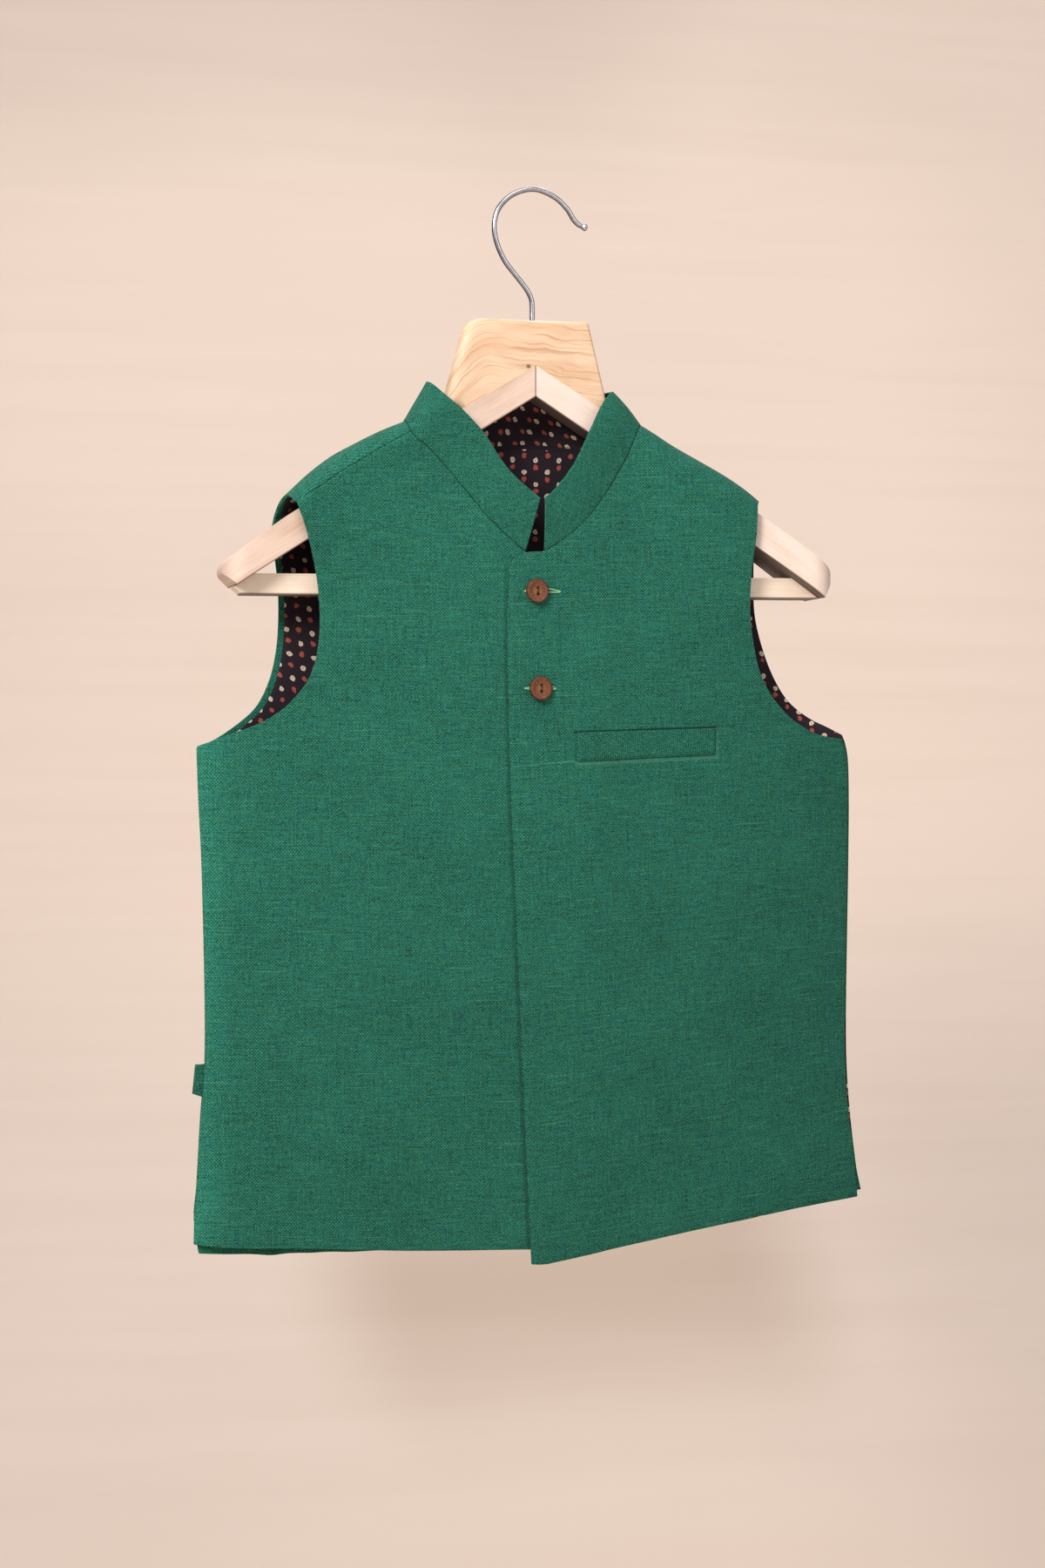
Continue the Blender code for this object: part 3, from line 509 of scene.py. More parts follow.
body = {
    "archRise": 14, "archRun": 20.8, "archDepth": {-1: 13.4, 1: 15.6}, "chestDepth": {-1: 18.5, 1: 19},
    "hemDepth": {-1: 14, 1: 15}, "chestLevel": -300, "hemLevel": -600, "spreadDrop": 95,
    "sideDepth": 1.8, "sidePower": 4, "closingTop": -240, "closingDrop": 70, "waveDepth": 0.9,
    "wave": (62, 95, 5), "creaseEnds": (3, 0.6), "creaseDrop": 40,
    "flareStart": 55, "flareRate": 0.1,
}
cloth = {"wall": 1.6, "liningWall": 1, "liningLift": -2.2, "collarWall": 1.8, "rim": 0.55, "rimAngle": 60,
         "overlapEnd": 26, "overlapFade": 30, "overlapLift": 1.9}

shoulderLine = [  # x, z
    (-205, -216), (-175, -199), (-152, -185), (-140, -174), (-130, -164.6), (-117, -154.6),
    (-102, -146.2), (-90, -140), (-75, -133.6), (-45, -121), (0, -112.5), (40, -119.5),
    (68, -134), (82, -142.5), (98, -151), (114, -159.6), (126, -167.4), (134, -173.8),
    (139, -178.4), (155, -190), (205, -220),
]
sideEdge = [  # z, left x, right x
    (-160, -194, 192), (-312, -193, 190), (-323, -192.7, 190.6), (-348, -192, 191.4), (-391, -190, 191),
    (-483, -188.3, 189.6), (-526, -191, 191.4), (-565, -193.2, 196), (-583, -194.6, 198.4),
    (-640, -197, 201),
]
creases = {  # side: start, end, half width, height
    -1: [
        ((88, -330), (150, -560), 34, -1.5), ((120, -590), (185, -545), 12, 1.1),
        ((-160, -330), (-170, -470), 16, 0.9), ((-60, -420), (-75, -600), 30, -0.9),
        ((-120, -200), (-60, -250), 14, -0.8), ((70, -175), (60, -215), 9, -0.7),
        ((40, -470), (70, -610), 18, 0.8), ((-110, -520), (-120, -600), 14, 0.9),
        ((150, -320), (175, -420), 16, 0.8), ((-150, -560), (-60, -575), 10, -0.5),
    ],
    1: [
        ((-90, -190), (-120, -420), 22, 1.2), ((80, -190), (110, -430), 24, 1.3),
        ((0, -170), (10, -480), 30, -1.2), ((-140, -480), (-100, -610), 22, 1),
        ((60, -500), (90, -600), 24, -1),
    ],
}


def mix(a, b, share):
    return a + (b - a) * share


def smooth(value):
    t = min(max(value, 0), 1)
    return t * t * (3 - 2 * t)


# Smooth value at a place on a table of (place, value) rows
def tableValue(rows, place, column=1):
    last = len(rows) - 1
    i = max(k for k in range(last) if k == 0 or rows[k][0] <= place)
    start, end = rows[i][0], rows[i + 1][0]
    slopes = []
    for k in (i, i + 1):
        a, b = rows[max(k - 1, 0)], rows[min(k + 1, last)]
        slopes.append((b[column] - a[column]) / (b[0] - a[0]))
    width = end - start
    t = (place - start) / width
    return ((2 * t**3 - 3 * t**2 + 1) * rows[i][column] + (t**3 - 2 * t**2 + t) * width * slopes[0]
            + (3 * t**2 - 2 * t**3) * rows[i + 1][column] + (t**3 - t**2) * width * slopes[1])


# Points evenly spaced along a smooth curve through the given points
def evenPoints(points, count):
    knots = [Vector(p) for p in points]
    fine = []
    for i in range(len(knots) - 1):
        before, first, second = knots[max(i - 1, 0)], knots[i], knots[i + 1]
        after = knots[min(i + 2, len(knots) - 1)]
        for k in range(24):
            t = k / 24
            fine.append(0.5 * (2 * first + (second - before) * t + (2 * before - 5 * first + 4 * second - after) * t**2
                               + (3 * first - before - 3 * second + after) * t**3))
    fine.append(knots[-1])
    reached = [0]
    for a, b in zip(fine, fine[1:]):
        reached.append(reached[-1] + (b - a).length)
    result = []
    k = 0
    for n in range(count + 1):
        want = reached[-1] * n / count
        while k < len(fine) - 2 and reached[k + 1] < want:
            k += 1
        share = (want - reached[k]) / (reached[k + 1] - reached[k])
        result.append(fine[k].lerp(fine[k + 1], min(share, 1)))
    return result


@lru_cache(maxsize=None)
def ridge(x):
    return tableValue(shoulderLine, x)


@lru_cache(maxsize=None)
def halfWidth(z, column):
    return abs(tableValue(sideEdge[::-1], z, column))


# The run s is the way down the cloth from the shoulder line; on the other side it is negative
def runAt(x, z):
    drop = ridge(x) - z
    if drop >= body["archRise"]:
        return body["archRun"] + drop - body["archRise"]
    return body["archRun"] * math.acos(1 - drop / body["archRise"]) / (math.pi / 2)


# The same smooth line through (x, z) points, as (x, run) places
def runs(points):
    return [(x, runAt(x, z)) for x, z in evenPoints(points, 24)]


# The arms are deeper towards their tips, and the cloth over them with them
def shoulderFlare(x):
    return body["flareRate"] * max(abs(x) - body["flareStart"], 0)


# Listed creases, and a slow wave of the hanging cloth
def creaseHeight(side, x, z):
    acrossRun, downRun, seed = body["wave"]
    height = noise.noise(Vector((x / acrossRun, z / downRun, side * seed))) * body["waveDepth"]
    rate, start = body["creaseEnds"]
    for (x0, z0), (x1, z1), half, rise in creases[side]:
        runX, runZ = x1 - x0, z1 - z0
        share = ((x - x0) * runX + (z - z0) * runZ) / (runX**2 + runZ**2)
        held = min(max(share, 0), 1)
        apart = math.hypot(x - x0 - runX * held, z - z0 - runZ * held)
        fade = smooth(share * rate + start) * smooth((1 - share) * rate + start)
        height += rise * fade * math.exp(-(apart / half) ** 2)
    return height


def bodyDepth(side, x, z):
    drop = ridge(x) - body["archRise"] - z
    fall = smooth((body["chestLevel"] - z) / (body["chestLevel"] - body["hemLevel"]))
    full = mix(body["chestDepth"][side], body["hemDepth"][side], fall)
    full = mix(body["archDepth"][side] + shoulderFlare(x), full, smooth(drop / body["spreadDrop"]))
    across = min(abs(x) / halfWidth(z, 1 if x < 0 else 2), 1) ** body["sidePower"]
    closing = across * smooth((body["closingTop"] - z) / body["closingDrop"])
    full += creaseHeight(side, x, z) * smooth(drop / body["creaseDrop"]) * (1 - across) if drop > 0 else 0
    return mix(full, body["sideDepth"], closing)


# Point of the body's outside; side is -1 for the front and 1 for the back
def skin(side, x, s):
    top = ridge(x)
    rise, run = body["archRise"], body["archRun"]
    if s < run:
        turn = s / run * math.pi / 2
        depth = body["archDepth"][side if s >= 0 else -side] + shoulderFlare(x)
        return Vector((x, side * depth * math.sin(turn), top - rise * (1 - math.cos(turn))))
    z = top - rise - (s - run)
    return Vector((x, side * bodyDepth(side, x, z), z))


def skinNormal(side, x, s):
    reach = 0.5
    across = skin(side, x + reach, s) - skin(side, x - reach, s)
    down = skin(side, x, s + reach) - skin(side, x, s - reach)
    return across.cross(down).normalized() * side


def onBody(side, x, s, lift):
    return skin(side, x, s) + skinNormal(side, x, s) * lift


# Level of a thread that lies straight across the cloth
def weftLevel(x, s):
    return ridge(x) + body["archRun"] - body["archRise"] - s


def overlapLift(x):
    return cloth["overlapLift"] * (1 - smooth((x - cloth["overlapEnd"]) / cloth["overlapFade"]))


# Grid of (x, s) places inside four edges
def filledPatch(left, right, bottom, top):
    rows, columns = len(left) - 1, len(bottom) - 1
    grid = []
    for i in range(rows + 1):
        v = i / rows
        line = []
        for j in range(columns + 1):
            u = j / columns
            edges = mix(left[i], right[i], u) + mix(bottom[j], top[j], v)
            corners = mix(mix(bottom[0], bottom[-1], u), mix(top[0], top[-1], u), v)
            line.append(edges - corners)
        grid.append(line)
    return grid


looks = {}


def newPiece(name, mesh, look, replaced):
    made = placed(name, mesh)
    for one in look if isinstance(look, tuple) else (look,):
        mesh.materials.append(looks[one])
    if replaced:
        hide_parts(*replaced)
    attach(made, "root")
    return made


def shaded(mesh, name, angle=None):
    mesh.name = name
    mesh.shade_smooth()
    if angle:
        mesh.set_sharp_from_angle(angle=math.radians(angle))
    return mesh


def meshFrom(bm, name, angle=None):
    mesh = bpy.data.meshes.new(name)
    bm.to_mesh(mesh)
    bm.free()
    return shaded(mesh, name, angle)


# The mesh that an object ends in with its modifiers, in the object's place
def finalMesh(drawn, name, angle):
    mesh = bpy.data.meshes.new_from_object(drawn.evaluated_get(bpy.context.evaluated_depsgraph_get()))
    bpy.data.objects.remove(drawn)
    mesh.materials.clear()
    return shaded(mesh, name, angle)


def thicken(bm, faces, shift):
    made = bmesh.ops.extrude_face_region(bm, geom=faces, use_keep_orig=True)
    bmesh.ops.translate(bm, verts=[v for v in made["geom"] if isinstance(v, bmesh.types.BMVert)], vec=shift)


def turnOutward(bm):
    bmesh.ops.recalc_face_normals(bm, faces=bm.faces[:])
    if bm.calc_volume(signed=True) < 0:
        bmesh.ops.reverse_faces(bm, faces=bm.faces[:])


# A thin closed shell: a slab of cells whose two faces are bent to the places given for each corner
def clothShell(name, rows, columns, place, lined, look, replaced):
    bm = bmesh.new()
    bmesh.ops.create_grid(bm, x_segments=columns, y_segments=rows, size=0.5)
    thicken(bm, bm.faces[:], (0, 0, 1))
    uvLayer = bm.loops.layers.uv.new("cloth")
    places = [[place(row, column) for column in range(columns + 1)] for row in range(rows + 1)]
    corner = {v: (round((v.co.y + 0.5) * rows), round((v.co.x + 0.5) * columns), v.co.z > 0.5) for v in bm.verts}
    for face in bm.faces:
        keys = [corner[v] for v in face.verts]
        if all(key[2] for key in keys):
            face.material_index = int(lined(min(k[0] for k in keys), min(k[1] for k in keys)))
        for loop in face.loops:
            row, column, inner = corner[loop.vert]
            loop[uvLayer].uv = places[row][column][2]
    for v, (row, column, inner) in corner.items():
        v.co = places[row][column][1 if inner else 0] * mm
    turnOutward(bm)
    made = newPiece(name, meshFrom(bm, name), look, replaced)
    rim = made.modifiers.new("softRim", "BEVEL")
    rim.width = cloth["rim"] * mm
    rim.segments = 2
    rim.limit_method = "ANGLE"
    rim.angle_limit = math.radians(cloth["rimAngle"])
    return made


def panel(name, side, grid, lift, wall, lined, look, replaced):
    def place(row, column):
        x, s = grid[row][column]
        at, normal, up = skin(side, x, s), skinNormal(side, x, s), lift(x)
        return at + normal * up, at + normal * (up - wall), (x, weftLevel(x, s))
    return clothShell(name, len(grid) - 1, len(grid[0]) - 1, place, lined, look, replaced)


# The two fronts

rightFront = {
    "hem": [(16, -605), (-5, -604.4), (-71, -602.6), (-130, -599.4), (-174, -598.2), (-195, -596)],
    "centre": [(16, -605), (16, -480), (15, -340), (13, -213.5)],
    "neck": [(13, -213.5), (-1, -211), (-8.4, -207.8), (-16.2, -201.8), (-23.8, -194.6),
             (-31.4, -187.2), (-39, -177.8), (-46.5, -168.9), (-56.5, -157.4), (-65, -149), (-70, -145.6)],
    "armhole": [(-193, -318.5), (-178.6, -313), (-159.2, -305.6), (-147, -298), (-139.6, -291),
                (-131.5, -279), (-127.2, -262), (-126.6, -242), (-128.6, -223), (-132.7, -204), (-136.3, -192)],
    "tipTurn": [],
    "shoulder": [(-74.4, 14.5), (-100.1, 17.9), (-125.7, 18.7), (-140.4, 14.4)],
}
leftFront = {
    "hem": [(-4, -612.6), (2, -613.2), (49.6, -604.9), (96.3, -596.8), (155.9, -587.5), (197.6, -582.8)],
    "centre": [(-4, -612.6), (-8.4, -525), (-12.4, -438), (-17, -345), (-19.2, -262), (-19, -240),
               (-17.4, -213)],
    "neck": [(-17.4, -213), (-9, -208.3), (2.1, -207.4), (10.8, -202.3), (19.5, -196), (27.1, -188.9),
             (34.9, -179.8), (41.6, -170.7), (47.8, -160.6), (52.9, -152), (57, -142.2)],
    "armhole": [(187.3, -313), (179, -312), (167, -309), (152, -300.5), (139, -287), (131, -271.5),
                (126.3, -250), (125.2, -232), (126.4, -213), (128.8, -195.5)],
    "tipTurn": [(129.8, 16), (133.4, 7)],
    "shoulder": [(66.5, -3), (90, -3), (114.3, -3), (137.9, -3)],
}
frontCells = {"columns": 55, "side": 66, "armhole": 50, "centre": 90, "arch": {"rightFront": 8, "leftFront": 14},
              "margin": 3, "clear": 8}


# One side of a cut, from the hem up round the armhole to the shoulder's tip
def sideWay(hemEnd, armhole, tip, cells, arch, step=0):
    column = 1 if hemEnd[0] < 0 else 2
    low, high = hemEnd[1] + cells["clear"], armhole[0][1] - cells["clear"]
    way = [(row[column] + step, row[0]) for row in sideEdge[::-1] if low < row[0] < high]
    side = evenPoints(runs([hemEnd, *way, armhole[0]]), cells["side"])
    around = evenPoints(runs(armhole), cells["armhole"])
    return side + around[1:] + evenPoints([around[-1], *tip], arch)[1:]


def frontGrid(cut, arch):
    cells, shoulder = frontCells, cut["shoulder"]
    neck = evenPoints(runs(cut["neck"]), cells["side"] + cells["armhole"] - cells["centre"])
    inner = evenPoints(runs(cut["centre"]), cells["centre"]) + neck[1:]
    inner += evenPoints([neck[-1], shoulder[0]], arch)[1:]
    outer = sideWay(cut["hem"][-1], cut["armhole"], [*cut["tipTurn"], shoulder[-1]], cells, arch)
    hem = evenPoints(runs(cut["hem"]), cells["columns"])
    return filledPatch(inner, outer, hem, evenPoints(shoulder, cells["columns"]))


def makeFronts():
    margin = frontCells["margin"]
    made = []
    for name, cut, lift, look, node in (
            ("rightFront", rightFront, lambda x: 0, "greenUnder", "front_right"),
            ("leftFront", leftFront, overlapLift, "greenSewn", "front_left")):
        grid = frontGrid(cut, frontCells["arch"][name])
        rows, columns = len(grid) - 1, len(grid[0]) - 1

        def lined(row, column):
            return margin <= row < rows - 1 and margin <= column < columns - margin

        made.append(panel(name, -1, grid, lift, cloth["wall"], lined, (look, "lining"), [node]))
    return made


# The back and its lining

backCut = {
    "hem": [(-191.6, -601.8), (-154, -604.6), (-83, -606), (-4, -605.2), (90, -594), (200.6, -579)],
    "leftArmhole": [(-193, -319.5), (-183.2, -315), (-170, -306.5), (-158, -296), (-150, -281),
                    (-145.6, -264), (-143.8, -246), (-143.9, -226), (-145.8, -207), (-147.5, -196.5)],
    "rightArmhole": [(189.4, -310.6), (181, -306), (170, -300.3), (158, -289.5), (149, -272),
                     (142.5, -249), (140.5, -232), (141, -212), (141.7, -191)],
    "leftShoulder": [(-141.4, -13.9), (-125.7, -18.3), (-100.1, -17.5), (-74.4, -14.1)],
    "neckLeftTurn": [(-74.4, -14.1), (-75.4, -1), (-73.8, 9), (-69, 18)],
    "neck": [(-69, 18), (-55, 28.5), (-28, 35), (-3, 36.5), (22, 35.5), (46, 31), (60, 20)],
    "neckRightTurn": [(60, 20), (64.4, 12), (66.5, 3.4)],
    "rightShoulder": [(66.5, 3.4), (90, 3.4), (114.3, 3.4), (138.7, 3.4)],
    "sideStep": {0: 0, -1: 1.6},
}
liningInset = {"side": 6, "hem": 12, "armhole": 3.4, "armholeEnd": 4, "armholeDrop": 1.2, "neck": 2.2,
               "shoulder": 1.5}
backCells = {"shoulder": 22, "leftTurn": 14, "neck": 36, "rightTurn": 10, "side": 66, "armhole": 50, "arch": 16,
             "ventFrom": 7, "ventTo": 24, "vent": 3, "rimFrom": 64, "rim": 5, "clear": 8}
liningCells = {"shoulder": 20, "leftTurn": 12, "neck": 32, "rightTurn": 8, "side": 60, "armhole": 44, "arch": 14,
               "clear": 8}


def backGrid(cut, cells):
    top = evenPoints(cut["leftShoulder"], cells["shoulder"])
    for key, count in (("neckLeftTurn", "leftTurn"), ("neck", "neck"), ("neckRightTurn", "rightTurn"),
                       ("rightShoulder", "shoulder")):
        top += evenPoints(cut[key], cells[count])[1:]
    edges = [sideWay(cut["hem"][end], cut[key], [top[end]], cells, cells["arch"], sign * cut["sideStep"][end])
             for end, sign, key in ((0, -1, "leftArmhole"), (-1, 1, "rightArmhole"))]
    return filledPatch(*edges, evenPoints(runs(cut["hem"]), len(top) - 1), top)


# The lining's cut is the back's, set in from each of its edges
def liningCut():
    armhole, neck, shoulder = liningInset["armhole"], liningInset["neck"], liningInset["shoulder"]
    side = liningInset["side"] + backCut["sideStep"][-1]
    cut = {"sideStep": {0: -liningInset["side"], -1: -liningInset["side"]}}
    cut["hem"] = [(x * (1 - side / backCut["hem"][-1][0]), z + liningInset["hem"]) for x, z in backCut["hem"]]
    for key, inward in (("leftArmhole", 1), ("rightArmhole", -1)):
        cut[key] = [(x + inward * mix(liningInset["armholeEnd"], armhole, smooth(i / 4)),
                     z - liningInset["armholeDrop"] * (1 - i / 9)) for i, (x, z) in enumerate(backCut[key])]
    for key in ("leftShoulder", "rightShoulder"):
        last = len(backCut[key]) - 1
        cut[key] = [(x + neck * (1 - 2 * i / last), s + shoulder) for i, (x, s) in enumerate(backCut[key])]
    cut["neckLeftTurn"] = [(x - neck, s + shoulder + neck * i / 3)
                           for i, (x, s) in enumerate(backCut["neckLeftTurn"])]
    cut["neckRightTurn"] = [(x + neck, s + shoulder + neck * (2 - i) / 2)
                            for i, (x, s) in enumerate(backCut["neckRightTurn"])]
    backNeck = [(x, s + shoulder + neck) for x, s in backCut["neck"][1:-1]]
    cut["neck"] = [cut["neckLeftTurn"][-1], *backNeck, cut["neckRightTurn"][0]]
    return cut


def makeBack():
    cells = backCells
    grid = backGrid(backCut, cells)
    rows, columns = len(grid), len(grid[0]) - 1

    # 0 is the green cloth, 1 the lining in the vents and beside the right armhole, 2 its plain strip
    def lined(row, column):
        if cells["ventFrom"] < row < cells["ventTo"]:
            return column < cells["vent"] or column >= columns - cells["vent"]
        if row > rows - cells["arch"] and cells["shoulder"] < column < columns - cells["shoulder"]:
            return 2
        return row > cells["rimFrom"] and column >= columns - cells["rim"]

    back = panel("backPanel", 1, grid, lambda x: 0, cloth["wall"], lined,
                 ("greenPlain", "lining", "liningPlain"), ["back"])
    inside = panel("backLining", 1, backGrid(liningCut(), liningCells), lambda x: cloth["liningLift"],
                   cloth["liningWall"], lambda row, column: False, "lining", ["back_lining"])
    return back, inside


# The stand collar

collar = {
    "top": [  # x, y, z, from the right front's end round the back to the left front's end
        (-0.4, -21.6, -177.4), (-14.5, -20.4, -165.6), (-23, -19.2, -155.4), (-32.4, -18, -141),
        (-44.6, -16.6, -127.8), (-54.4, -14.4, -119.2), (-60.8, -8, -112.4), (-61.6, 2, -110.6),
        (-54, 12, -114), (-38, 16.6, -116.4), (-20, 17.6, -116.2), (16, 17.6, -114.4),
        (32, 16, -112.8), (43.6, 11, -112.4), (47.2, 2, -112.6), (45.8, -7.6, -113.8),
        (40.4, -14.2, -118.4), (36.6, -15.8, -124.2), (31.2, -17.2, -135), (20.8, -20, -155.6),
        (9.6, -22.2, -170.4), (2, -23.4, -177.4),
    ],
    "ends": (-8.4, 2), "seamGap": 0.15, "backGap": -1.2, "bow": 0.7, "rounds": 240, "rises": 14,
}


# Places on the body along the whole neck edge, from the right front's end to the left front's end
def neckEdge():
    rightEnd, leftEnd = collar["ends"]
    right = evenPoints(runs(p for p in rightFront["neck"] if p[0] <= rightEnd), 48)
    left = evenPoints(runs(p for p in leftFront["neck"] if p[0] >= leftEnd), 48)
    left += evenPoints([left[-1], leftFront["shoulder"][0]], 8)[1:]
    back = evenPoints(backCut["neckLeftTurn"], 20)
    back += evenPoints(backCut["neck"], 48)[1:] + evenPoints(backCut["neckRightTurn"], 12)[1:]
    places = [(-1, x, s, 0) for x, s in right]
    places += [(1, x, s, 0) for x, s in back]
    return places + [(-1, x, s, overlapLift(x)) for x, s in left[::-1]]


def makeCollar():
    rounds, rises = collar["rounds"], collar["rises"]
    edge = neckEdge()
    seam = evenPoints([onBody(*place) for place in edge], rounds)
    normals = evenPoints([onBody(*place) + skinNormal(*place[:3]) for place in edge], rounds)
    top = evenPoints(collar["top"], rounds)
    along = [0]
    for a, b in zip(seam, seam[1:]):
        along.append(along[-1] + (b - a).length)

    def place(row, column):
        rise = row / rises
        up = (top[column] - seam[column]).normalized()
        ahead = seam[min(column + 2, rounds)] - seam[max(column - 2, 0)]
        own = up.cross(ahead).normalized()
        seamNormal = (normals[column] - seam[column]).normalized()
        normal = mix(seamNormal, own, smooth(rise * 1.5)).normalized()
        gap = collar["seamGap"] if seam[column].y < 0 else collar["backGap"]
        at = seam[column].lerp(top[column], rise) + up * gap * (1 - rise)
        at += own * collar["bow"] * math.sin(math.pi * rise)
        height = (top[column] - seam[column]).length * rise
        return at, at - normal * cloth["collarWall"], (along[column], height)

    return clothShell("standCollar", rises, rounds, place, lambda row, column: row < rises,
                      ("greenBias", "liningTurned"), ["collar"])


# Welt of the pocket, side tab

welt = {"left": (21.4, -310.4, -326.7), "right": (104.7, -307.5, -322.5), "seat": 0.2, "stand": 1.1,
        "turnIn": 1.6, "columns": 60, "rows": 14, "weaveShift": 300}


def makeWelt():
    columns, rows = welt["columns"], welt["rows"]
    x0, top0, bottom0 = welt["left"]
    x1, top1, bottom1 = welt["right"]

    def place(row, column):
        share, rise = column / columns, smooth(row / rows) * 0.4 + row / rows * 0.6
        x = mix(x0, x1, share)
        high, low = mix(top0, top1, share), mix(bottom0, bottom1, share)
        z = mix(low, high, rise)
        s = runAt(x, z)
        fromEnds = min(x - x0, x1 - x, (z - low) * 0.8) / welt["turnIn"]
        stand = welt["stand"] * (0.35 + 0.65 * smooth(fromEnds)) + 0.3 * smooth((rise - 0.6) / 0.4)
        seat = overlapLift(x) + welt["seat"]
        at, normal = skin(-1, x, s), skinNormal(-1, x, s)
        return at + normal * (seat + stand), at + normal * seat, (x + welt["weaveShift"], weftLevel(x, s))

    return clothShell("pocketWelt", rows, columns, place, lambda row, column: False, "greenWelt",
                      ["pocket_welt"])


tab = {"outline": [(-186.6, -495.8), (-193.8, -496), (-195.4, -512.2), (-187.4, -515)], "wall": 3,
       "depthAt": 0.4, "edge": 0.7}


# A flat outline in the XZ plane, drawn through to both sides of the middle plane. The half depth may
# change along X; share gives each rim edge's part of the full rounding
def slab(name, outline, halfDepth, edge, look, replaced, y=0, segments=4, share=None, cuts=()):
    bm = bmesh.new()
    face = bm.faces.new([bm.verts.new((x * mm, -1, z * mm)) for x, z in outline])
    thicken(bm, [face], (0, 2, 0))
    if callable(halfDepth):
        for x in sorted({round(x, 2) for x in (*(x for x, z in outline), *cuts)})[1:-1]:
            bmesh.ops.bisect_plane(bm, geom=bm.verts[:] + bm.edges[:] + bm.faces[:], dist=0.001 * mm,
                                   plane_co=(x * mm, 0, 0), plane_no=(1, 0, 0))
    weight = bm.edges.layers.float.new("bevel_weight_edge")
    flat = {f for f in bm.faces if abs(sum(v.co.y for v in f.verts)) > len(f.verts) - 0.5}
    for e in bm.edges:
        if len(flat.intersection(e.link_faces)) == 1:
            middle = (e.verts[0].co + e.verts[1].co) / 2 / mm
            e[weight] = share(middle.x, middle.z) if share else 1
    for v in bm.verts:
        half = halfDepth(v.co.x / mm) if callable(halfDepth) else halfDepth
        v.co.y = (y + v.co.y * half) * mm
    turnOutward(bm)
    made = newPiece(name, meshFrom(bm, name, 40), look, replaced)
    rounding = made.modifiers.new("roundedRims", "BEVEL")
    rounding.limit_method = "WEIGHT"
    rounding.width = edge * mm
    rounding.segments = segments
    made.modifiers.new("evenShade", "WEIGHTED_NORMAL").keep_sharp = True
    return made


def makeTab():
    return slab("sideTab", tab["outline"], tab["wall"] / 2, tab["edge"], "greenTab", ["side_tab"],
                tab["depthAt"], 3)


# The hanger

arms = {"apex": -100.3, "slope": {-1: 0.612, 1: 0.61}, "bend": {-1: 0.0002, 1: 0.00045}, "bendStart": 60,
        "stations": [55, 70, 85, 100, 115, 128, 140, 152], "reach": {-1: 180.8, 1: 178.3},
        "apexHeight": 18, "fullHeight": 20.4, "fullAt": 130, "halfDepth": 8.5, "edge": 3.8, "upper": 8,
        "crisp": 0.15, "softFrom": 40, "softRun": 50, "endRound": 15, "endCuts": 10, "tipBack": 11,
        "tipDrop": 5.3, "tipTurn": 2,
        "heelBack": {-1: 8.2, 1: 6.8}, "tipSag": {-1: 3.1, 1: 0}, "sagStart": 135, "sagRun": 40,
        "joint": 0.3, "endDark": 9}
bar = {"level": {-1: -227.8, 1: -225.2}, "height": 11.8, "halfDepth": 8, "edge": 2.4, "crisp": 0.15,
       "endFrom": 160, "endBack": 0.8, "endLean": 1.15, "darkFrom": 168, "span": 340}
block = {"outline": [(-39.5, -74.3), (31.6, -74.3), (43, -121.5), (39.4, None), (0, None),
                     (-46, None), (-51.8, -120.5)],
         "halfDepth": 8.3, "edge": 6.5, "share": 0.3, "footShare": 0.04, "footHalf": 30, "leftFrom": -26,
         "leftRun": 12, "seat": 0.5, "leftRound": 8, "rightRound": 2}


def turned(start, corner, end, steps):
    start, corner, end = Vector(start), Vector(corner), Vector(end)
    return [tuple((1 - t) ** 2 * start + 2 * t * (1 - t) * corner + t**2 * end)
            for t in (k / steps for k in range(steps + 1))]


def roundedCorner(before, corner, after, radius, steps):
    before, corner, after = Vector(before), Vector(corner), Vector(after)
    start = corner + (before - corner).normalized() * radius
    end = corner + (after - corner).normalized() * radius
    return turned(start, corner, end, steps)


def armSag(side, x):
    return arms["tipSag"][side] * smooth((abs(x) - arms["sagStart"]) / arms["sagRun"])


def armTop(side, x):
    bend = arms["bend"][side] * max(abs(x) - arms["bendStart"], 0) ** 2
    return arms["apex"] - arms["slope"][side] * abs(x) - bend - armSag(side, x)


def armBottom(side, x):
    height = mix(arms["apexHeight"], arms["fullHeight"], min(abs(x) / arms["fullAt"], 1))
    return armTop(side, x) + armSag(side, x) - height


# The arm's end is rounded seen from above
def armHalfDepth(side, x):
    full = arms["halfDepth"] + shoulderFlare(x)
    past = abs(x) - (arms["reach"][side] - arms["endRound"])
    if past > 0:
        full -= arms["endRound"] - math.sqrt(max(arms["endRound"] ** 2 - past**2, 0))
    return full


# Soft upper edges, crisp lower ones and a crisp joint between the arms
def armEdgeShare(side, x, z):
    if abs(x) > arms["joint"] and z > armTop(side, x) - arms["upper"]:
        return mix(arms["crisp"], 1, smooth((abs(x) - arms["softFrom"]) / arms["softRun"]))
    return arms["crisp"]


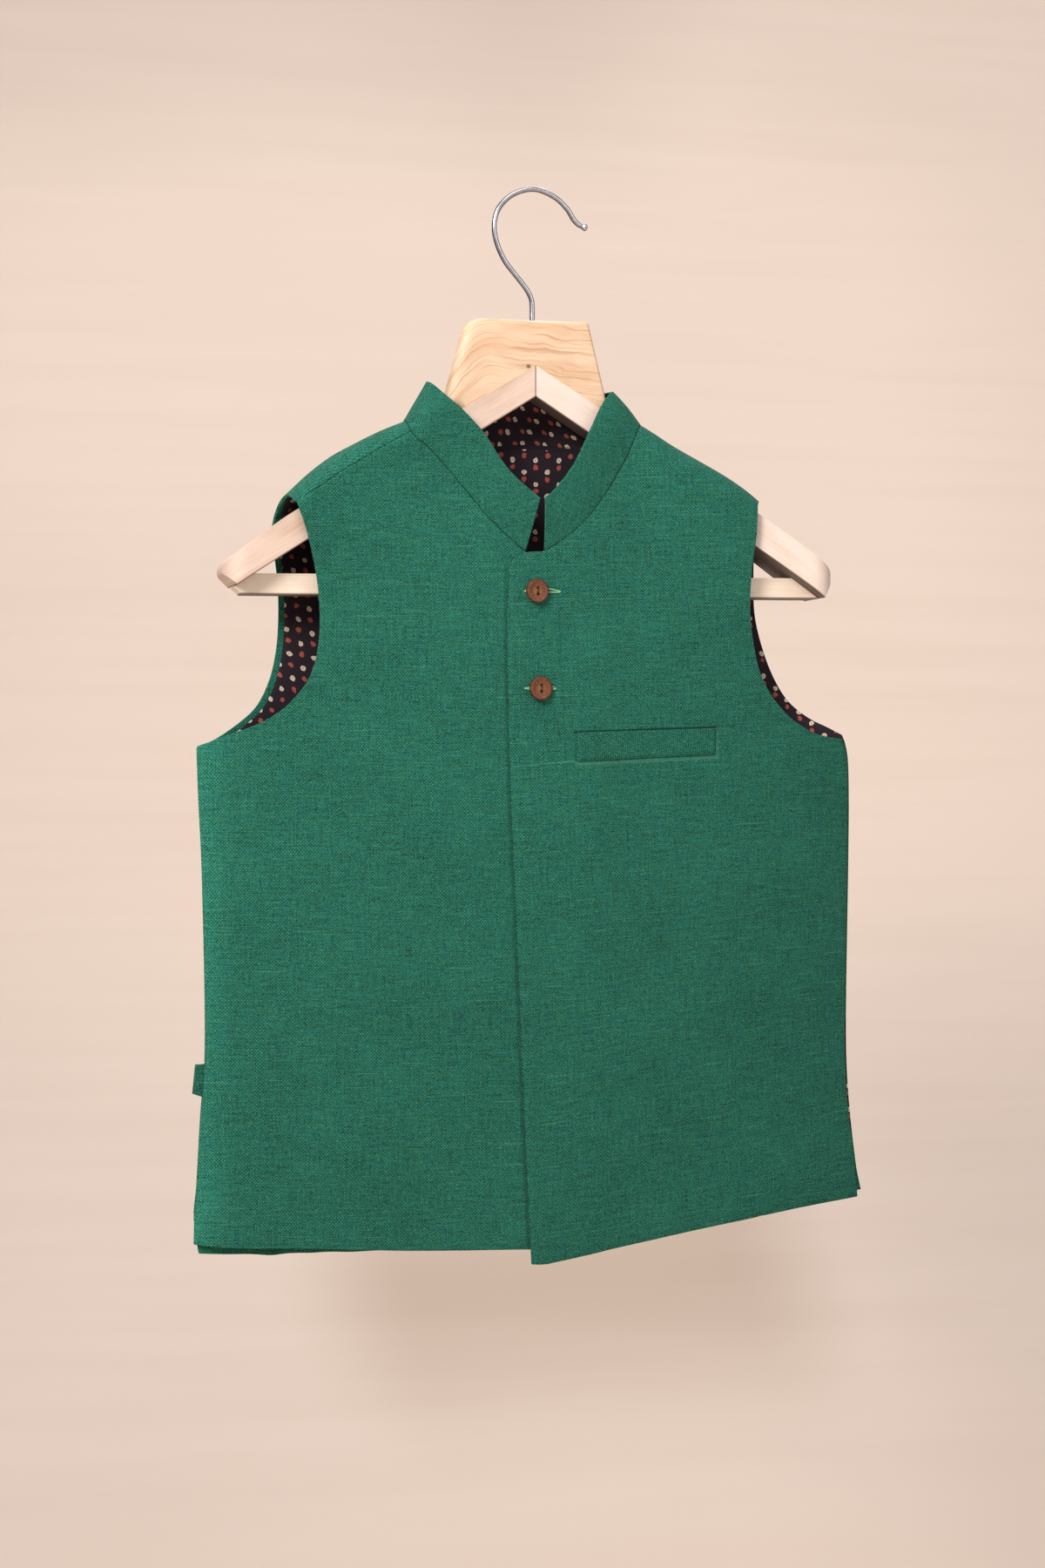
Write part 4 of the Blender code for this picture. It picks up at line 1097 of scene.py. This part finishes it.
def makeArm(side):
    reach, joint = arms["reach"][side], arms["joint"]
    heelAt = reach - arms["heelBack"][side]
    heel = (heelAt, armBottom(side, heelAt))
    end = (reach, armTop(side, reach) - arms["tipDrop"])
    top = (reach - arms["tipBack"], armTop(side, reach - arms["tipBack"]))
    outline = [(x, armBottom(side, x)) for x in (joint / 2, *arms["stations"])]
    outline += [heel] + roundedCorner(heel, end, (reach, armTop(side, reach)), arms["tipTurn"], 4)
    outline += turned(outline[-1], (reach, armTop(side, reach)), top, 10)[1:]
    outline += [(x, armTop(side, x)) for x in (*arms["stations"][::-1], joint / 2)]
    word = "left" if side < 0 else "right"
    cuts = [side * (reach - arms["endRound"] * (1 - math.sin(math.radians(90 * k / arms["endCuts"]))))
            for k in range(arms["endCuts"])]
    slab(f"{word}Arm", [(side * x, z) for x, z in outline], lambda x: armHalfDepth(side, x), arms["edge"],
         f"{word}ArmWood", [f"hanger_arm_{word}"], share=lambda x, z: armEdgeShare(side, x, z),
         cuts=cuts)


def armUnder(side):
    return {"slope": arms["slope"][side], "bend": arms["bend"][side], "lean": 0,
            "growth": arms["fullHeight"] - arms["apexHeight"], "bottom": arms["apex"] - arms["apexHeight"],
            "endFrom": arms["reach"][side] - arms["endDark"]}


# Place where a level meets the arm's lower face, less the joint's gap
def underArm(side, z):
    x = 120
    for _ in range(30):
        slope = armBottom(side, x + 1) - armBottom(side, x)
        x += (z - armBottom(side, x) + arms["joint"] * math.hypot(1, slope)) / slope
    return x


# The bar's ends follow the arms' lower faces, then are cut off in line with the arms' ends
def makeBar():
    outline = []
    for side in (-1, 1):
        top = bar["level"][side] + bar["height"] / 2
        bottom = bar["level"][side] - bar["height"] / 2
        start = underArm(side, top)
        end = min(underArm(side, bottom), arms["reach"][side] - arms["heelBack"][1]) - bar["endBack"]
        way = [(start, top)]
        for x in (mix(start, end, 0.5), end):
            slope = armBottom(side, x + 1) - armBottom(side, x)
            way.append((x, armBottom(side, x) - arms["joint"] * math.hypot(1, slope)))
        way.append((end - (way[-1][1] - bottom) * bar["endLean"], bottom))
        ends = [(side * x, z) for x, z in way]
        outline += ends if side > 0 else ends[::-1]
    slab("crossBar", outline, bar["halfDepth"], bar["edge"], "barWood", ["hanger_bar"], segments=3,
         share=lambda x, z: 1 if abs(x) > bar["endFrom"] else bar["crisp"])


# A large rounding at the left end, small ones above and on the right, almost none over the arms
def blockEdgeShare(x, z):
    if abs(x) < block["footHalf"] and z < arms["apex"]:
        return block["footShare"]
    return mix(block["share"], 1, smooth((block["leftFrom"] - x) / block["leftRun"]))


def makeBlock():
    outline = []
    for x, z in block["outline"]:
        side = -1 if x < 0 else 1
        outline.append((x, armTop(side, x) - block["seat"] if z is None else z))
    shape = roundedCorner(outline[-1], outline[0], outline[1], block["leftRound"], 6)
    shape += roundedCorner(outline[0], outline[1], outline[2], block["rightRound"], 4)
    slab("headBlock", shape + outline[2:], block["halfDepth"], block["edge"], "pine", ["hanger_block"],
         segments=7, share=blockEdgeShare)


hook = {
    "route": [  # x, z, wire thickness as a share
        (0, -94.5, 1), (0, -74, 1), (0, -66, 1), (-0.6, -61, 1), (-3.6, -55.4, 1),
        (-9.5, -48.2, 1), (-15.6, -40.8, 1), (-19.6, -33.2, 1), (-21.9, -25.6, 1),
        (-22.2, -17.8, 1), (-19.6, -9.8, 1), (-12.8, -2.6, 1), (-3.6, 1.35, 1), (4.6, 1.45, 1),
        (14.2, -2.6, 1), (20.8, -8.6, 1), (24.6, -14.4, 1), (27.6, -17.2, 1), (29.6, -18, 1),
        (30.9, -18.4, 1.45), (32, -18.6, 1.35), (32.8, -18.7, 0.7)],
    "wire": 1.5, "points": 170, "weight": 10,
}


# A round wire or thread along a route of (point, thickness share)
def tube(name, route, radius, look, replaced, sides=5):
    curve = bpy.data.curves.new(name, "CURVE")
    curve.dimensions = "3D"
    curve.bevel_depth = radius * mm
    curve.bevel_resolution = sides
    curve.use_fill_caps = True
    line = curve.splines.new("POLY")
    line.points.add(len(route) - 1)
    for point, (at, share) in zip(line.points, route):
        point.co = (*(Vector(at) * mm), 1)
        point.radius = share
    return newPiece(name, finalMesh(placed(f"{name}Line", curve), name, 50), look, replaced)


def makeHook():
    weight = hook["weight"]
    points = evenPoints([(x, z, share * weight) for x, z, share in hook["route"]], hook["points"])
    route = [((x, 0, z), share / weight) for x, z, share in points]
    tube("hook", route, hook["wire"], "steel", ["hanger_hook"])


# Buttons, each sewn on through two holes over its buttonhole

buttons = {
    "upperButton": {"at": (-3, -230.2), "node": "button_upper", "loop": 14.4, "rise": 1.5, "back": -7},
    "lowerButton": {"at": (-0.8, -285.3), "node": "button_lower", "loop": 9.6, "rise": 1, "back": -8.8},
}
buttonForm = {
    "profile": (  # distance from the middle, height
        (0, 0), (6.3, 0), (6.8, 0.2), (7, 0.7), (7, 1.7), (6.8, 2.2), (6.3, 2.4), (5.7, 2.4), (5.2, 2.25),
        (4.5, 1.95), (0, 1.9)),
    "stitch": (  # share of the way to a hole, height
        (-1, 0.5), (-1, 2), (-0.7, 2.3), (0, 2.4), (0.7, 2.3), (1, 2), (1, 0.5)),
    "seat": 1.5, "turn": 13, "hole": 1, "drill": 9.6, "spacing": 3.4, "steps": 56, "thread": 0.26, "bead": 0.36,
    "beadLift": 0.25,
}


def makeButton(name, spec):
    form = buttonForm
    x, z = spec["at"]
    s = runAt(x, z)
    normal = Matrix.Rotation(math.radians(form["turn"]), 3, "Z") @ skinNormal(-1, x, s)
    seat = onBody(-1, x, s, overlapLift(x) + form["seat"])
    turn = Vector((0, 0, 1)).rotation_difference(normal).to_matrix().to_4x4()
    stand = Matrix.Translation(seat * mm) @ turn
    bm = bmesh.new()
    points = [bm.verts.new((r * mm, 0, h * mm)) for r, h in form["profile"]]
    edges = [bm.edges.new(pair) for pair in zip(points, points[1:])]
    bmesh.ops.spin(bm, geom=points + edges, axis=(0, 0, 1), cent=(0, 0, 0), angle=2 * math.pi,
                   steps=form["steps"], use_merge=True)
    bmesh.ops.remove_doubles(bm, verts=bm.verts[:], dist=0.00001)
    bmesh.ops.recalc_face_normals(bm, faces=bm.faces[:])
    bmesh.ops.transform(bm, matrix=stand, verts=bm.verts[:])
    whole = placed(f"{name}Whole", meshFrom(bm, f"{name}Whole"))
    drills = []
    for k in (-1, 1):
        drill = bmesh.new()
        bmesh.ops.create_cone(drill, cap_ends=True, segments=18, radius1=form["hole"] * mm,
                              radius2=form["hole"] * mm, depth=form["drill"] * mm)
        bmesh.ops.transform(drill, matrix=Matrix.Translation((0, 0, k * form["spacing"] / 2 * mm)) @ stand,
                            verts=drill.verts[:])
        drills.append(placed(f"{name}Drill{k}", meshFrom(drill, f"{name}Drill{k}")))
        cut = whole.modifiers.new(f"hole{k}", "BOOLEAN")
        cut.operation = "DIFFERENCE"
        cut.object = drills[-1]
    newPiece(name, finalMesh(whole, name, 35), "coconut", [spec["node"]])
    for spent in drills:
        bpy.data.objects.remove(spent)
    # sewing thread from hole to hole
    route = [seat + normal * h + Vector((0, 0, share * form["spacing"] / 2)) for share, h in form["stitch"]]
    tube(f"{name}Thread", [(p, 1) for p in evenPoints(route, 24)], form["thread"], "brownThread", [])
    # worked buttonhole, of which the end beside the button shows
    rise, loop, back = spec["rise"], spec["loop"], spec["back"]
    bead = []
    for u, v in ((back, 0), (-4, 0.7), (0, rise), (4, rise), (8, rise * 0.9), (loop - 1, 0.25),
                 (loop, 0), (loop - 1, -0.45), (8, -rise * 0.3), (4, 0.2), (0, -0.3), (-4, -0.7),
                 (back, -0.1)):
        bead.append(onBody(-1, x + u, runAt(x + u, z + v), overlapLift(x + u) + form["beadLift"]))
    tube(f"{name}Hole", [(p, 1) for p in evenPoints(bead, 90)], form["bead"], "greenThread", [])


def makeSweep():
    bm = bmesh.new()
    bend, floor, turns = sweep["bend"], sweep["floor"], sweep["turns"]
    outline = [(sweep["front"], floor)]
    outline += [(sweep["back"] - bend + bend * math.sin(a), floor + bend * (1 - math.cos(a)))
                for a in (math.radians(90 * k / turns) for k in range(turns + 1))]
    outline.append((sweep["back"], sweep["top"]))
    points = [bm.verts.new((-sweep["wide"] / 2, y, z)) for y, z in outline]
    edges = [bm.edges.new(pair) for pair in zip(points, points[1:])]
    made = bmesh.ops.extrude_edge_only(bm, edges=edges)
    bmesh.ops.translate(bm, verts=[v for v in made["geom"] if isinstance(v, bmesh.types.BMVert)],
                        vec=(sweep["wide"], 0, 0))
    bmesh.ops.recalc_face_normals(bm, faces=bm.faces[:])
    made = placed("paleSweep", meshFrom(bm, "paleSweep"))
    made.data.materials.append(looks["sweep"])


makeCamera()
makeLights()

# Seam lines, painted shadow lines and painted highlight lines: start, end, half width, softness, share of dark (less
# than 0 for pale), sink
seamAndHighlightLines = [
    ((10, -229.7), (17, -361.8), 0.2, 0.6, 0.14, 0.8),
    ((-16, -329.6), (20.3, -326.4), 0.1, 0.4, -0.3, 0.3),
    ((20.6, -309.8), (105.2, -306.8), 0.2, 0.45, 0.85, 1.2),
    ((20.6, -309.8), (20.6, -326.7), 0.1, 0.45, 0.5, 1),
    ((19.8, -310.2), (20.8, -309.9), 0.4, 0.4, 0.9, 1),
    # Painted highlights along the welt's lower and right edges
    ((21, -328.2), (105.6, -324.2), 0.5, 1.2, -0.2, -0.6),
    ((106, -308.5), (106, -322.5), 0.3, 0.8, -0.18, -0.4),
]
# Painted shadow on the right front along the edge of the left front that lies over it
underWay = [(-19.9, -216), (-20.2, -262), (-18.1, -345), (-13.6, -438), (-9.6, -525), (-5.2, -604)]
underEdgeShadow = [(*ends, 0.2, 1.6, 0.3, 0.6) for ends in zip(underWay, underWay[1:])]
collarSeam = [((0, 0), (340, 0), 0.25, 0.5, 0.45, 1)]
barUnder = {"slope": 0, "bend": 0, "lean": (bar["level"][1] - bar["level"][-1]) / bar["span"], "growth": 0,
            "endFrom": bar["darkFrom"], "bottom": (bar["level"][1] + bar["level"][-1] - bar["height"]) / 2}
for name, make, settings in (
        ("greenPlain", makeGreen, {"fade": True}),
        ("greenSewn", makeGreen, {"tilt": True, "seamsAndPaintedLight": seamAndHighlightLines, "fade": True}),
        ("greenBias", makeGreen, {"turn": 42, "seamsAndPaintedLight": collarSeam}),
        ("greenUnder", makeGreen, {"fade": True, "seamsAndPaintedLight": underEdgeShadow}),
        ("greenWelt", makeGreen, {"turn": 38, "shade": 0.92}),
        # The side tab is darker all over: painted shade
        ("greenTab", makeGreen, {"flat": True, "shade": 0.84}),
        ("lining", makeLining, {"shift": (1.5, -6.6), "beside": (0, -4.1), "askew": True}),
        ("liningTurned", makeLining, {"shift": (-5, -1), "beside": (-4.6, 0.2)}),
        ("liningPlain", makeLining, {"printed": 0}),
        ("leftArmWood", makePaleWood, {"under": armUnder(-1)}),
        ("rightArmWood", makePaleWood, {"under": armUnder(1)}),
        ("barWood", makePaleWood, {"under": barUnder}),
        ("pine", makePine, {}),
        ("coconut", makeCoconut, {}),
        ("steel", makeSteel, {}),
        ("brownThread", makeThread, {"light": (0.05, 0.02, 0.01), "dark": (0.02, 0.008, 0.005)}),
        ("greenThread", makeThread, {"light": (0.36, 0.62, 0.36), "dark": (0.16, 0.4, 0.22)}),
        ("sweep", makeSweepLook, {})):
    looks[name] = make(name, **settings)
print("looks made")
makeSweep()
fronts = makeFronts()
print("fronts made")
back, backLining = makeBack()
print("back and lining made")
collarPiece = makeCollar()
weltPiece = makeWelt()
tabPiece = makeTab()
print("collar, welt and tab made")
makeArm(-1)
makeArm(1)
makeBar()
makeBlock()
makeHook()
print("hanger made")
for buttonName, spec in buttons.items():
    makeButton(buttonName, spec)
print("buttons made")
